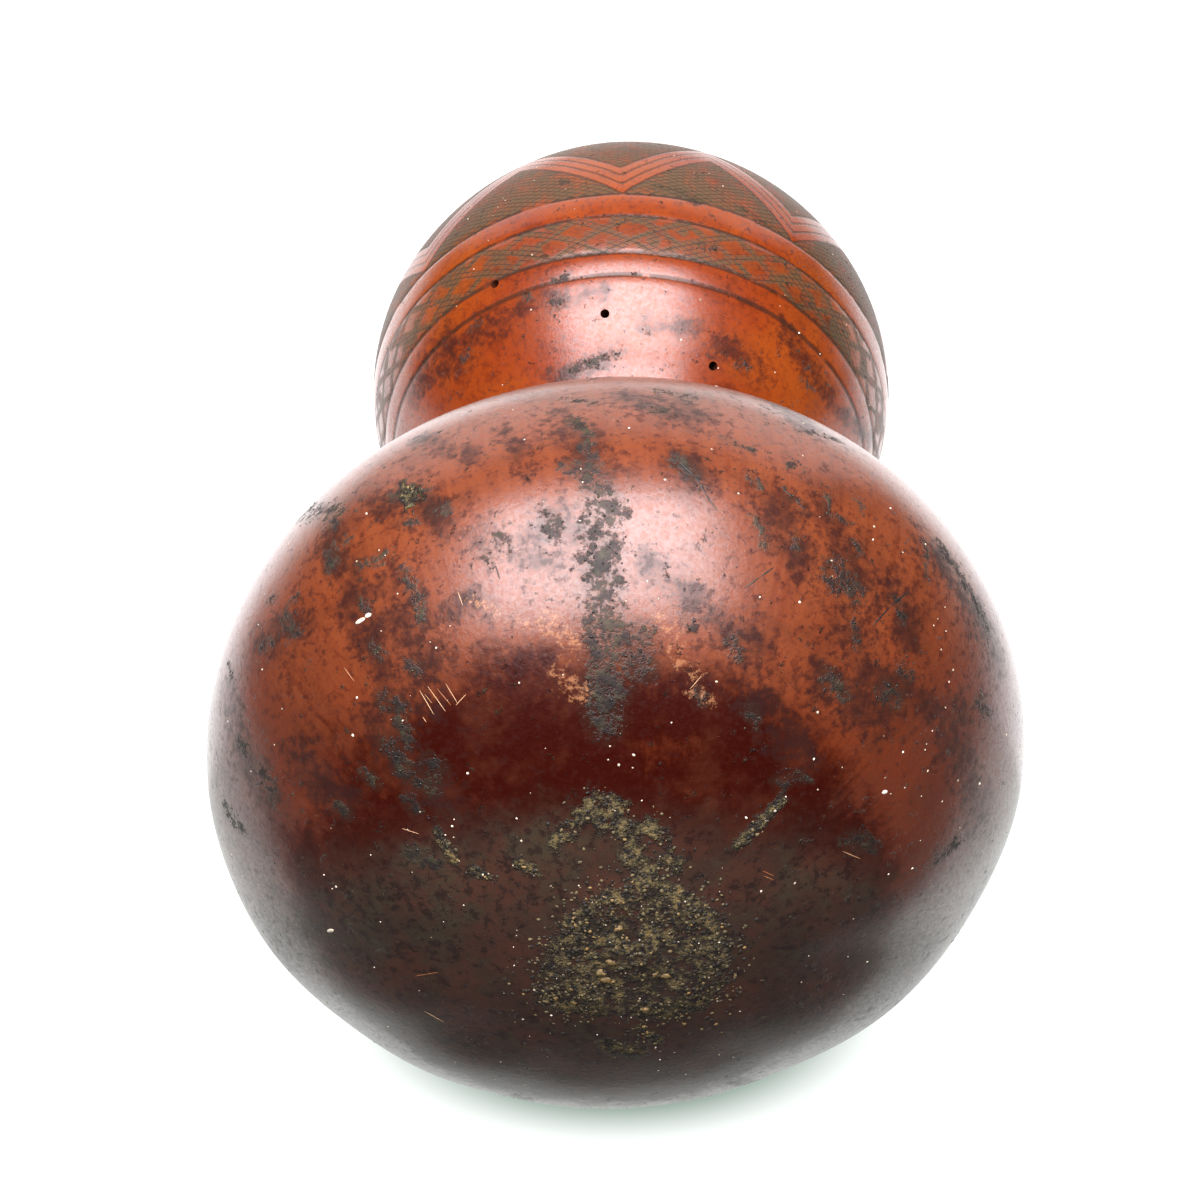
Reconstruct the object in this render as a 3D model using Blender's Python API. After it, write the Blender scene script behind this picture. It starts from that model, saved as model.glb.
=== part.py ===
"""A gourd jug: one dried, hollow bottle gourd lying on its two lobes.

Metres, +Z up. +Y runs from the blossom end, past the waist, to the mouth. The table is the plane
z = 0, and the origin is on it, under the middle of the gourd's box.
"""
import math

import bmesh
import bpy
from mathutils import Matrix, Vector

# Lower lobe: the larger one, at the blossom end
LOWER_RADIUS = 0.095
BLOSSOM_DEPTH = 0.064
SHOULDER_DEPTH = 0.074

# Upper lobe: the smaller one, with the mouth at its far end
UPPER_RADIUS = 0.074
NECK_DEPTH = 0.069
CROWN_DEPTH = 0.068

# Waist: it leaves each lobe at these distances from the lobe's centre, and is about 80 mm across
NECK_FROM_LOWER = 0.055
NECK_FROM_UPPER = 0.048

# How the gourd lies: each lobe's axis turns away from +Y and dips below level
LOWER_TURN = math.radians(3.6)
LOWER_DIP = math.radians(7.8)
UPPER_TURN = math.radians(-2.05)
UPPER_DIP = math.radians(0.4)
UPPER_ACROSS = 0.0046
UPPER_ALONG = 0.1616

# Wall, mouth and flat spots
WALL = 0.005
MOUTH_RADIUS = 0.022
LIP_RADIUS = 0.026
FLAT_SINK = 0.0006

# Blossom scar: a crusty ring round a low button
SCAR_REACH = 0.024
SCAR_RING_RADIUS = 0.016
SCAR_RING_HEIGHT = 0.0009
SCAR_RING_WIDTH = 0.004
SCAR_BUTTON_RADIUS = 0.005
SCAR_BUTTON_HEIGHT = 0.0010

# Awl holes in the upper lobe: distance along its axis from its centre, and turn from the top
HOLE_RADIUS = 0.0012
HOLE_LENGTH = 0.024
HOLES = (
    (-0.0265, math.radians(-31.3)),
    (-0.0406, math.radians(-5.7)),
    (-0.0479, math.radians(24.5)),
)

# Mesh fineness
SEGMENTS = 60
SCAR_RINGS = 6
OUTER_RINGS = 40
INNER_RINGS = 26
HOLE_SIDES = 12
FINE_STEPS = 2000
HALVINGS = 40
SHARP_ANGLE = math.radians(40)
TINY = 1e-12

UP = Vector((0, 0, 1))


def clear_scene():
    """Remove every object that the file opened with."""
    for item in list(bpy.data.objects):
        bpy.data.objects.remove(item, do_unlink=True)


def direction(turn, dip):
    """Unit vector that starts along +Y, turned towards -X and dipped below level."""
    level = math.cos(dip)
    return Vector((-math.sin(turn) * level, math.cos(turn) * level, -math.sin(dip)))


def rest_height(axis, radius, back_depth, front_depth):
    """Height of a lobe's centre when its lowest point touches the table."""
    slope = axis.z
    depth = front_depth if slope < 0 else back_depth
    return math.sqrt(radius ** 2 * (1 - slope ** 2) + depth ** 2 * slope ** 2)


LOWER_AXIS = direction(LOWER_TURN, LOWER_DIP)
UPPER_AXIS = direction(UPPER_TURN, UPPER_DIP)
LOWER_HEIGHT = rest_height(LOWER_AXIS, LOWER_RADIUS, BLOSSOM_DEPTH, SHOULDER_DEPTH)
UPPER_HEIGHT = rest_height(UPPER_AXIS, UPPER_RADIUS, NECK_DEPTH, CROWN_DEPTH)
LOWER_CENTRE = Vector((0, 0, LOWER_HEIGHT - FLAT_SINK))
UPPER_CENTRE = Vector((UPPER_ACROSS, UPPER_ALONG, UPPER_HEIGHT - FLAT_SINK))
SPACING = (UPPER_CENTRE - LOWER_CENTRE).length
NECK_END = SPACING - NECK_FROM_UPPER
NECK_LENGTH = NECK_END - NECK_FROM_LOWER


def cubic_bridge(start, start_slope, end, end_slope, share):
    """Cubic from start to end over the neck, with the slopes that it has at both ends."""
    return (
        start * (2 * share ** 3 - 3 * share ** 2 + 1)
        + start_slope * NECK_LENGTH * (share ** 3 - 2 * share ** 2 + share)
        + end * (3 * share ** 2 - 2 * share ** 3)
        + end_slope * NECK_LENGTH * (share ** 3 - share ** 2)
    )


def bridge_slope(start, start_slope, end, end_slope, share):
    """Slope of the same cubic."""
    return (
        (end - start) * 6 * (share - share ** 2) / NECK_LENGTH
        + start_slope * (3 * share ** 2 - 4 * share + 1)
        + end_slope * (3 * share ** 2 - 2 * share)
    )


def lobe_profile(along, radius, back_depth, front_depth):
    """Radius and slope of one egg-shaped lobe: a half ellipse on each side of its centre."""
    depth = front_depth if along > 0 else back_depth
    share = along / depth
    height = math.sqrt(max(TINY, 1 - share ** 2))
    return radius * height, -radius * share / (depth * height)


def lower_profile(along):
    return lobe_profile(along, LOWER_RADIUS, BLOSSOM_DEPTH, SHOULDER_DEPTH)


def upper_profile(along):
    return lobe_profile(along - SPACING, UPPER_RADIUS, NECK_DEPTH, CROWN_DEPTH)


def gourd_profile(along):
    """Radius and slope of the skin at a distance along the spine."""
    if along <= NECK_FROM_LOWER:
        return lower_profile(along)
    if along >= NECK_END:
        return upper_profile(along)
    ends = lower_profile(NECK_FROM_LOWER) + upper_profile(NECK_END)
    share = (along - NECK_FROM_LOWER) / NECK_LENGTH
    return cubic_bridge(*ends, share), bridge_slope(*ends, share)


def inner_profile(along):
    """Place along the spine and radius of the inner surface, one wall in from the skin.

    The step inwards is square to the skin's profile at the distance that is given.
    """
    radius, slope = gourd_profile(along)
    length = math.hypot(1, slope)
    return along + WALL * slope / length, radius - WALL / length


def scar_relief(rim):
    """Height of the blossom scar above the skin, at a distance from the blossom pole."""
    ring = math.exp(-((rim - SCAR_RING_RADIUS) / SCAR_RING_WIDTH) ** 2)
    button = math.exp(-((rim / SCAR_BUTTON_RADIUS) ** 2))
    return SCAR_RING_HEIGHT * ring + SCAR_BUTTON_HEIGHT * button


def spine_frame(along):
    """Centre of a ring, and its sideways, upward and forward directions.

    The spine is straight through each lobe. In the neck the centres follow a cubic curve and the
    rings turn evenly from one axis to the other.
    """
    share = min(1.0, max(0.0, (along - NECK_FROM_LOWER) / NECK_LENGTH))
    if share == 0.0:
        centre = LOWER_CENTRE + LOWER_AXIS * along
    elif share == 1.0:
        centre = UPPER_CENTRE + UPPER_AXIS * (along - SPACING)
    else:
        start = LOWER_CENTRE + LOWER_AXIS * NECK_FROM_LOWER
        end = UPPER_CENTRE - UPPER_AXIS * NECK_FROM_UPPER
        centre = cubic_bridge(start, LOWER_AXIS, end, UPPER_AXIS, share)
    ease = share * share * (3 - 2 * share)
    forward = (LOWER_AXIS * (1 - ease) + UPPER_AXIS * ease).normalized()
    side = forward.cross(UP).normalized()
    return centre, side, side.cross(forward), forward


def surface_point(along, turn, radius):
    """Point of the ring at a distance along the spine, turned from the top towards +X."""
    centre, side, top, forward = spine_frame(along)
    return centre + (side * math.sin(turn) + top * math.cos(turn)) * radius


def even_stations(start, end, count):
    """Distances along the spine, evenly spaced along the skin's profile, both ends left out.

    The profile is walked in fine steps that crowd towards both ends, where it turns square to
    the spine.
    """
    middle = (start + end) / 2
    reach = (end - start) / 2
    walk = [0.0]
    places = [start]
    for step in range(1, FINE_STEPS + 1):
        place = middle - reach * math.cos(math.pi * step / FINE_STEPS)
        rise = gourd_profile(place)[0] - gourd_profile(places[-1])[0]
        walk.append(walk[-1] + math.hypot(place - places[-1], rise))
        places.append(place)
    stations = []
    step = 0
    for ring in range(1, count + 1):
        target = walk[-1] * ring / (count + 1)
        while walk[step + 1] < target:
            step += 1
        share = (target - walk[step]) / (walk[step + 1] - walk[step])
        stations.append(places[step] + share * (places[step + 1] - places[step]))
    return stations


def scar_stations():
    """Distances along the spine of evenly spaced rings over the blossom scar."""
    radii = [SCAR_REACH * (i + 1) / SCAR_RINGS for i in range(SCAR_RINGS)]
    return [-BLOSSOM_DEPTH * math.sqrt(1 - (r / LOWER_RADIUS) ** 2) for r in radii]


def lip_station():
    """Distance along the spine of the sawn lip."""
    return SPACING + CROWN_DEPTH * math.sqrt(1 - (LIP_RADIUS / UPPER_RADIUS) ** 2)


def throat_station():
    """Distance along the skin's spine above which the inner surface is the mouth's own width."""
    wide = SPACING
    narrow = lip_station()
    for _ in range(HALVINGS):
        middle = (wide + narrow) / 2
        if inner_profile(middle)[1] > MOUTH_RADIUS:
            wide = middle
        else:
            narrow = middle
    return wide


def add_ring(mesh, along, radius):
    """One closed row of vertices."""
    turns = [2 * math.pi * i / SEGMENTS for i in range(SEGMENTS)]
    return [mesh.verts.new(surface_point(along, turn, radius)) for turn in turns]


def add_band(mesh, near, far):
    """Quads between two rings, facing out where the rings run from blossom end to mouth."""
    for i in range(SEGMENTS):
        j = (i + 1) % SEGMENTS
        mesh.faces.new((near[i], near[j], far[j], far[i]))


def add_pole(mesh, ring, along, height, outward):
    """Triangles that close a ring onto one point of the spine."""
    centre, side, top, forward = spine_frame(along)
    tip = mesh.verts.new(centre - forward * height)
    for i in range(SEGMENTS):
        j = (i + 1) % SEGMENTS
        first, second = (ring[j], ring[i]) if outward else (ring[i], ring[j])
        mesh.faces.new((tip, first, second))


def outer_ring(mesh, along):
    """A ring on the skin, lifted by the blossom scar's relief near the blossom pole."""
    radius = gourd_profile(along)[0]
    ring = add_ring(mesh, along, radius)
    if along < 0:
        lift = LOWER_AXIS * -scar_relief(radius)
        for vertex in ring:
            vertex.co += lift
    return ring


def build_shell():
    """The whole wall: skin, sawn lip, mouth and inner surface, as one closed mesh."""
    lip = lip_station()
    throat = throat_station()
    scar = scar_stations()
    mesh = bmesh.new()
    rings = [outer_ring(mesh, place) for place in scar]
    rings += [outer_ring(mesh, place) for place in even_stations(scar[-1], lip, OUTER_RINGS)]
    add_pole(mesh, rings[0], -BLOSSOM_DEPTH, scar_relief(0.0), True)
    rings.append(add_ring(mesh, lip, LIP_RADIUS))
    rings.append(add_ring(mesh, lip, MOUTH_RADIUS))
    rings.append(add_ring(mesh, inner_profile(throat)[0], MOUTH_RADIUS))
    for place in reversed(even_stations(-BLOSSOM_DEPTH, throat, INNER_RINGS)):
        rings.append(add_ring(mesh, *inner_profile(place)))
    for near, far in zip(rings, rings[1:]):
        add_band(mesh, near, far)
    add_pole(mesh, rings[-1], WALL - BLOSSOM_DEPTH, 0.0, False)
    return mesh


def link_mesh(name, mesh):
    """Make an object of a finished bmesh and put it in the scene."""
    data = bpy.data.meshes.new(name)
    mesh.to_mesh(data)
    mesh.free()
    item = bpy.data.objects.new(name, data)
    bpy.context.scene.collection.objects.link(item)
    return item


def hide_cutter(item):
    """Mark an object that only shapes another one."""
    item.hide_render = True
    item.display_type = "WIRE"


def add_cut(shell, cutter):
    """Take a cutter's shape away from the shell."""
    cut = shell.modifiers.new(cutter.name, "BOOLEAN")
    cut.operation = "DIFFERENCE"
    cut.solver = "EXACT"
    cut.object = cutter


def make_table_cutter():
    """A slab whose top is the table, so each lobe gets a small flat spot."""
    mesh = bmesh.new()
    width = 4 * LOWER_RADIUS
    length = 4 * UPPER_ALONG
    bmesh.ops.create_cube(mesh, size=1.0)
    bmesh.ops.scale(mesh, vec=(width, length, LOWER_RADIUS), verts=mesh.verts)
    bmesh.ops.translate(mesh, vec=(0, 0, -LOWER_RADIUS / 2), verts=mesh.verts)
    return link_mesh("table_cutter", mesh)


def make_awl_cutter(number, along, turn):
    """A thin rod square to the upper lobe's skin, through its wall."""
    place = SPACING + along
    radius, slope = gourd_profile(place)
    point = surface_point(place, turn, radius)
    centre, side, top, forward = spine_frame(place)
    spoke = side * math.sin(turn) + top * math.cos(turn)
    outward = (spoke - forward * slope).normalized()
    mesh = bmesh.new()
    bmesh.ops.create_cone(
        mesh,
        cap_ends=True,
        segments=HOLE_SIDES,
        radius1=HOLE_RADIUS,
        radius2=HOLE_RADIUS,
        depth=HOLE_LENGTH,
    )
    turned = UP.rotation_difference(outward).to_matrix().to_4x4()
    bmesh.ops.transform(mesh, matrix=Matrix.Translation(point) @ turned, verts=mesh.verts)
    return link_mesh(f"awl_cutter_{number}", mesh)


def gourd_skin():
    """Polished reddish brown gourd rind."""
    skin = bpy.data.materials.new("gourd_skin")
    skin.use_nodes = True
    shader = skin.node_tree.nodes["Principled BSDF"]
    shader.inputs["Base Color"].default_value = (0.33, 0.075, 0.022, 1.0)
    shader.inputs["Roughness"].default_value = 0.38
    shader.inputs["Metallic"].default_value = 0.0
    return skin


def place_over_origin(items, shell):
    """Move everything sideways so that the middle of the shell's box is above the origin."""
    xs = [vertex.co.x for vertex in shell.data.vertices]
    ys = [vertex.co.y for vertex in shell.data.vertices]
    shift = Vector(((min(xs) + max(xs)) / 2, (min(ys) + max(ys)) / 2, 0))
    for item in items:
        item.location = -shift
    print("lower lobe's centre:", tuple(round(value, 5) for value in LOWER_CENTRE - shift))
    print("upper lobe's centre:", tuple(round(value, 5) for value in UPPER_CENTRE - shift))


def main():
    clear_scene()
    shell = link_mesh("gourd_shell", build_shell())
    shell.data.shade_smooth()
    shell.data.set_sharp_from_angle(angle=SHARP_ANGLE)
    shell.data.materials.append(gourd_skin())
    cutters = [make_table_cutter()]
    cutters += [make_awl_cutter(i + 1, *place) for i, place in enumerate(HOLES)]
    for cutter in cutters:
        hide_cutter(cutter)
        add_cut(shell, cutter)
    place_over_origin([shell] + cutters, shell)


main()
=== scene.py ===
# %% [markdown]
# # A gourd jug, dressed in Blender
#
# The real thing is one dried bottle gourd: a large lobe, a waist and a smaller lobe, hollowed out
# through a mouth at the stem end, then waxed and handled for years. A plain smooth solid of it is
# already made. This lesson gives it its real skin: the fine shape, the engraved bands, the mottled
# rind, the crusty blossom scar and the pale specks. Each step says what it makes, how that could be
# done, and why it is done this way.

# %% Load the frame
import math

import bpy
import numpy as np
from mathutils import Matrix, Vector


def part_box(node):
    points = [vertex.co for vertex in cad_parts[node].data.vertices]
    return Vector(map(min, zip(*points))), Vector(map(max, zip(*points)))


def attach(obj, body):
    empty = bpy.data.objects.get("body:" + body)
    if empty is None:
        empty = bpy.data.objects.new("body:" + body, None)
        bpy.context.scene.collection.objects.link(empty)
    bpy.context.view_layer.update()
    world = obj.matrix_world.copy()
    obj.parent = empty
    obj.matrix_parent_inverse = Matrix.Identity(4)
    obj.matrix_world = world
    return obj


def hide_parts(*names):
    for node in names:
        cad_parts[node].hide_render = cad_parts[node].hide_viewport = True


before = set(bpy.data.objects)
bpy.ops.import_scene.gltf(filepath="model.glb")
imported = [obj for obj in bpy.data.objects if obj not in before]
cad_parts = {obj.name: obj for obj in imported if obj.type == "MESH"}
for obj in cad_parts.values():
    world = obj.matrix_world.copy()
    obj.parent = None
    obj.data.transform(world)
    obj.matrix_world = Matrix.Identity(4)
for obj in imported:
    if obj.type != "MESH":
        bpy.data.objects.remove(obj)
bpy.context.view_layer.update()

SHELL = "gourd_shell"

# %% [markdown]
# ## The gourd's shape as formulas
#
# Both lobes are egg shapes: a half ellipse on each side of the widest ring. They could be sculpted,
# but a formula gives the skin at any fineness, and it is the same formula that the solid was built
# from, so the two agree. Distances along the gourd's bent axis are called `along`, and `turn` is the
# angle round it, from the top towards +X.

# %% Driving sizes, in metres
LOWER_RADIUS = 0.095
BLOSSOM_DEPTH = 0.064
SHOULDER_DEPTH = 0.074
UPPER_RADIUS = 0.074
NECK_DEPTH = 0.069
CROWN_DEPTH = 0.068
NECK_FROM_LOWER = 0.055
NECK_FROM_UPPER = 0.048
LOWER_TURN, LOWER_DIP = math.radians(3.6), math.radians(7.8)
UPPER_TURN, UPPER_DIP = math.radians(-2.05), math.radians(0.4)
UPPER_ACROSS = 0.0046
UPPER_ALONG = 0.1616
WALL = 0.005
MOUTH_RADIUS = 0.022
LIP_RADIUS = 0.026
FLAT_SINK = 0.0006
MM = 0.001


def axis_direction(turn, dip):
    """Unit vector along +Y, turned towards -X and dipped below level."""
    return np.array([
        -math.sin(turn) * math.cos(dip),
        math.cos(turn) * math.cos(dip),
        -math.sin(dip),
    ])


def rest_height(axis, radius, back_depth, front_depth):
    """Height of an egg's centre when its lowest point touches the table."""
    depth = front_depth if axis[2] < 0 else back_depth
    return math.sqrt(radius ** 2 * (1 - axis[2] ** 2) + depth ** 2 * axis[2] ** 2)


LOWER_AXIS = axis_direction(LOWER_TURN, LOWER_DIP)
UPPER_AXIS = axis_direction(UPPER_TURN, UPPER_DIP)
lower_height = rest_height(LOWER_AXIS, LOWER_RADIUS, BLOSSOM_DEPTH, SHOULDER_DEPTH)
upper_height = rest_height(UPPER_AXIS, UPPER_RADIUS, NECK_DEPTH, CROWN_DEPTH)
LOWER_CENTRE = np.array([0.0, 0.0, lower_height - FLAT_SINK])
UPPER_CENTRE = np.array([UPPER_ACROSS, UPPER_ALONG, upper_height - FLAT_SINK])
SPACING = float(np.linalg.norm(UPPER_CENTRE - LOWER_CENTRE))
NECK_END = SPACING - NECK_FROM_UPPER
NECK_LENGTH = NECK_END - NECK_FROM_LOWER
print("the lobes' centres are", round(1000 * SPACING, 1), "mm apart")

# %% [markdown]
# ## Profile and spine
#
# A ring of the gourd needs a radius and a place. Through each lobe the axis is straight; in the
# waist a cubic bridge carries both the radius and the axis over, with the slopes that they have at
# both ends, so the skin has no crease there.


# %% Profile, spine and skin as array functions
def cubic_bridge(start, start_slope, end, end_slope, share):
    """Cubic from start to end over the neck: Hermite's four weights times ends and slopes."""
    return (
        start * (2 * share ** 3 - 3 * share ** 2 + 1)
        + start_slope * NECK_LENGTH * (share ** 3 - 2 * share ** 2 + share)
        + end * (3 * share ** 2 - 2 * share ** 3)
        + end_slope * NECK_LENGTH * (share ** 3 - share ** 2)
    )


def bridge_slope(start, start_slope, end, end_slope, share):
    """Slope of the same cubic."""
    return (
        (end - start) * 6 * (share - share ** 2) / NECK_LENGTH
        + start_slope * (3 * share ** 2 - 4 * share + 1)
        + end_slope * (3 * share ** 2 - 2 * share)
    )


def egg(along, radius, back_depth, front_depth):
    """Radius and slope of an egg: radius times the root of 1 - (along / depth) squared."""
    depth = np.where(along > 0, front_depth, back_depth)
    share = along / depth
    height = np.sqrt(np.maximum(1e-12, 1 - share ** 2))
    return radius * height, -radius * share / (depth * height)


def profile(along):
    """Radius and slope of the skin: the lower egg, the neck's bridge, the upper egg."""
    along = np.asarray(along, float)
    lower = egg(along, LOWER_RADIUS, BLOSSOM_DEPTH, SHOULDER_DEPTH)
    upper = egg(along - SPACING, UPPER_RADIUS, NECK_DEPTH, CROWN_DEPTH)
    ends = [
        *egg(NECK_FROM_LOWER, LOWER_RADIUS, BLOSSOM_DEPTH, SHOULDER_DEPTH),
        *egg(-NECK_FROM_UPPER, UPPER_RADIUS, NECK_DEPTH, CROWN_DEPTH),
    ]
    share = np.clip((along - NECK_FROM_LOWER) / NECK_LENGTH, 0, 1)
    neck = (cubic_bridge(*ends, share), bridge_slope(*ends, share))
    before, after = along <= NECK_FROM_LOWER, along >= NECK_END
    return tuple(np.where(before, a, np.where(after, c, b)) for a, b, c in zip(lower, neck, upper))


def unit(vectors):
    """The same directions with length 1."""
    return vectors / np.linalg.norm(vectors, axis=-1, keepdims=True)


def spine(along):
    """Centre, side, top and forward directions of the ring at each distance along the axis."""
    along = np.asarray(along, float)[..., None]
    share = np.clip((along - NECK_FROM_LOWER) / NECK_LENGTH, 0, 1)
    start = LOWER_CENTRE + LOWER_AXIS * NECK_FROM_LOWER
    end = UPPER_CENTRE - UPPER_AXIS * NECK_FROM_UPPER
    centre = np.where(
        along <= NECK_FROM_LOWER,
        LOWER_CENTRE + LOWER_AXIS * along,
        np.where(
            along >= NECK_END,
            UPPER_CENTRE + UPPER_AXIS * (along - SPACING),
            cubic_bridge(start, LOWER_AXIS, end, UPPER_AXIS, share),
        ),
    )
    ease = share ** 2 * (3 - 2 * share)
    forward = unit(LOWER_AXIS * (1 - ease) + UPPER_AXIS * ease)
    side = unit(np.cross(forward, [0.0, 0.0, 1.0]))
    return centre, side, np.cross(side, forward), forward


def ring_points(along, turn, radius):
    """Points at centre + (side * sin turn + top * cos turn) * radius."""
    centre, side, top, forward = spine(along)
    spoke = side * np.sin(turn)[..., None] + top * np.cos(turn)[..., None]
    return centre + spoke * radius[..., None]


def skin_normal(along, turn):
    """Outward direction of the smooth skin: the spoke tipped back by the profile's slope."""
    centre, side, top, forward = spine(along)
    spoke = side * np.sin(turn)[..., None] + top * np.cos(turn)[..., None]
    return unit(spoke - forward * profile(along)[1][..., None])


def skin_point(along, turn, lift=0.0):
    """Point of the smooth skin, lifted along its outward direction."""
    along, turn = np.broadcast_arrays(np.asarray(along, float), np.asarray(turn, float))
    lift = np.broadcast_to(np.asarray(lift, float), along.shape)
    return ring_points(along, turn, profile(along)[0]) + skin_normal(along, turn) * lift[..., None]


# %% [markdown]
# ## Putting the formulas where the solid is
#
# The formulas start from the lower lobe, and the solid stands with the middle of its box over the
# origin. The shift between the two could be typed in, but it is measured instead: the smooth skin's
# own box is laid over the solid's box.

# %% Lay the formulas over the solid
TAU = 2 * math.pi
LIP = SPACING + CROWN_DEPTH * math.sqrt(1 - (LIP_RADIUS / UPPER_RADIUS) ** 2)
coarse = skin_point(
    np.linspace(-BLOSSOM_DEPTH, LIP, 900)[:, None],
    np.linspace(0, TAU, 720, endpoint=False)[None, :],
)
skin_middle = (coarse.min((0, 1)) + coarse.max((0, 1))) / 2
solid_low, solid_high = (np.array(corner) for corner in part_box(SHELL))
shift = (solid_low + solid_high) / 2 - skin_middle
shift[2] = 0
LOWER_CENTRE = LOWER_CENTRE + shift
UPPER_CENTRE = UPPER_CENTRE + shift
print("lower lobe's centre:", LOWER_CENTRE.round(5), "upper lobe's centre:", UPPER_CENTRE.round(5))

# %% [markdown]
# ## The camera
#
# The picture was taken from in front of the blossom end, 44 degrees above the table, with a lens
# that sees 28 degrees. Its place was found by matching the outline of both lobes, and is given from
# the lower lobe's centre.

# %% Camera
CAMERA_FROM_LOBE = np.array([-0.0041, -0.3795, 0.41605])
CAMERA_DIP = math.radians(43.72)
LENS = 72.0
SENSOR = 36.0
PICTURE = 1200
camera_place = LOWER_CENTRE + CAMERA_FROM_LOBE
camera = bpy.data.objects.new("camera", bpy.data.cameras.new("camera"))
camera.data.lens = LENS
camera.data.sensor_width = SENSOR
camera.data.sensor_fit = "AUTO"
camera.data.clip_start = 0.01
camera.location = camera_place
camera.rotation_euler = (math.pi / 2 - CAMERA_DIP, 0, 0)
bpy.context.scene.collection.objects.link(camera)
bpy.context.scene.camera = camera
print("camera at", camera_place.round(4))

# %% [markdown]
# ## Floor and light
#
# The gourd lies on a white table in soft light. One wide softbox over the front leaves the large
# pale reflections on both lobes, and a panel behind leaves the white rims. The table glows, so that
# it burns out to white. Left alone it would also light the front of the gourd, which is dark in the
# picture, so black cards lie on it in front and at the sides, and a bright one lies behind. The
# camera doesn't see the cards, but the waxed skin reflects them, as in a photographer's studio.
# Light is followed for three bounces, which is enough round one thing that is nearly all convex.


# %% Floor, softbox and room
def simple_material(name, colour, roughness, glow=0.0):
    """A plain Principled material, which may glow a little in its own colour."""
    material = bpy.data.materials.new(name)
    material.use_nodes = True
    shader = material.node_tree.nodes["Principled BSDF"]
    shader.inputs["Base Color"].default_value = (*colour, 1)
    shader.inputs["Roughness"].default_value = roughness
    shader.inputs["Emission Color"].default_value = (*colour, 1)
    shader.inputs["Emission Strength"].default_value = glow
    return material


FLOOR_SIZE = 6.0
FLOOR_GLOW = 9.3
TABLE_WHITE = (0.105, 0.11, 0.107)
DULL = 0.9
floor_mesh = bpy.data.meshes.new("floor")
half = FLOOR_SIZE / 2
floor_corners = [(-half, -half, 0), (half, -half, 0), (half, half, 0), (-half, half, 0)]
floor_mesh.from_pydata(floor_corners, [], [(0, 1, 2, 3)])
floor = bpy.data.objects.new("floor", floor_mesh)
floor.data.materials.append(simple_material("white_table", TABLE_WHITE, DULL, FLOOR_GLOW))
bpy.context.scene.collection.objects.link(floor)


def softbox(name, place, target, size, power, colour):
    """A rectangular area lamp that faces a point."""
    lamp = bpy.data.objects.new(name, bpy.data.lights.new(name, "AREA"))
    lamp.data.shape = "RECTANGLE"
    lamp.data.size, lamp.data.size_y = size
    lamp.data.energy = power
    lamp.data.color = colour
    place, target = np.array(place), np.array(target)
    back = unit(place - target)
    across = unit(np.cross([0.0, 1.0, 0.0], back))
    up = np.cross(back, across)
    matrix = np.eye(4)
    matrix[:3, :3] = np.stack([across, up, back], 1)
    matrix[:3, 3] = place
    lamp.matrix_world = Matrix(matrix.tolist())
    lamp.visible_camera = False
    bpy.context.scene.collection.objects.link(lamp)


OVERHEAD, OVERHEAD_SIZE, OVERHEAD_POWER = (-0.07, -0.36, 1.15), (1.1, 0.98), 50.0
BEHIND, BEHIND_SIZE, BEHIND_POWER = (0, 1.35, 0.75), (2.6, 1.2), 13.0
softbox("overhead_softbox", OVERHEAD, (0, 0, 0.1), OVERHEAD_SIZE, OVERHEAD_POWER, (1.0, 0.93, 0.97))
softbox("back_panel", BEHIND, (0, 0, 0.15), BEHIND_SIZE, BEHIND_POWER, (1.0, 0.96, 0.96))


def card(name, low, high, colour, glow=0.0):
    """A flat rectangle on the table that shows in reflections and not to the camera."""
    mesh = bpy.data.meshes.new(name)
    left, front = low
    right, back = high
    corners = [(left, front, MM), (right, front, MM), (right, back, MM), (left, back, MM)]
    mesh.from_pydata(corners, [], [(0, 1, 2, 3)])
    sheet = bpy.data.objects.new(name, mesh)
    sheet.data.materials.append(simple_material(name, colour, DULL, glow))
    sheet.visible_camera = False
    sheet.visible_shadow = False
    bpy.context.scene.collection.objects.link(sheet)
    return sheet


BLACK, GREY = (0.02, 0.02, 0.02), (0.2, 0.2, 0.2)
FRONT_EDGE, SIDE_EDGE, SIDE_END = -0.142, 0.5, 0.35
BACK_START, BACK_END, BACK_GLOW = -0.01, 1.3, 7.5
card("front_card", (-half, -half), (half, FRONT_EDGE), BLACK)
card("left_card", (-half, FRONT_EDGE), (-SIDE_EDGE, SIDE_END), BLACK)
card("right_card", (SIDE_EDGE, FRONT_EDGE), (half, SIDE_END), BLACK)
card("back_card", (-SIDE_EDGE, BACK_START), (SIDE_EDGE, BACK_END), GREY, BACK_GLOW)
world = bpy.data.worlds.new("dim_room")
world.use_nodes = True
world.node_tree.nodes["Background"].inputs["Color"].default_value = (0.92, 0.94, 0.93, 1)
world.cycles_visibility.diffuse = False
world.cycles_visibility.glossy = False
bpy.context.scene.world = world
bpy.context.scene.view_settings.view_transform = "Standard"
BOUNCES = 3
bpy.context.scene.cycles.max_bounces = BOUNCES

# %% [markdown]
# ## Pinning marks from the photograph to the skin
#
# A stain or a scratch is known by where it shows in the picture. To find it on the gourd, a line is
# sent from the camera through that point of the picture, and met with the egg shape of the lobe.
# An egg is two half ellipsoids, so each crossing is a quadratic equation, and no search is needed.


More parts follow.
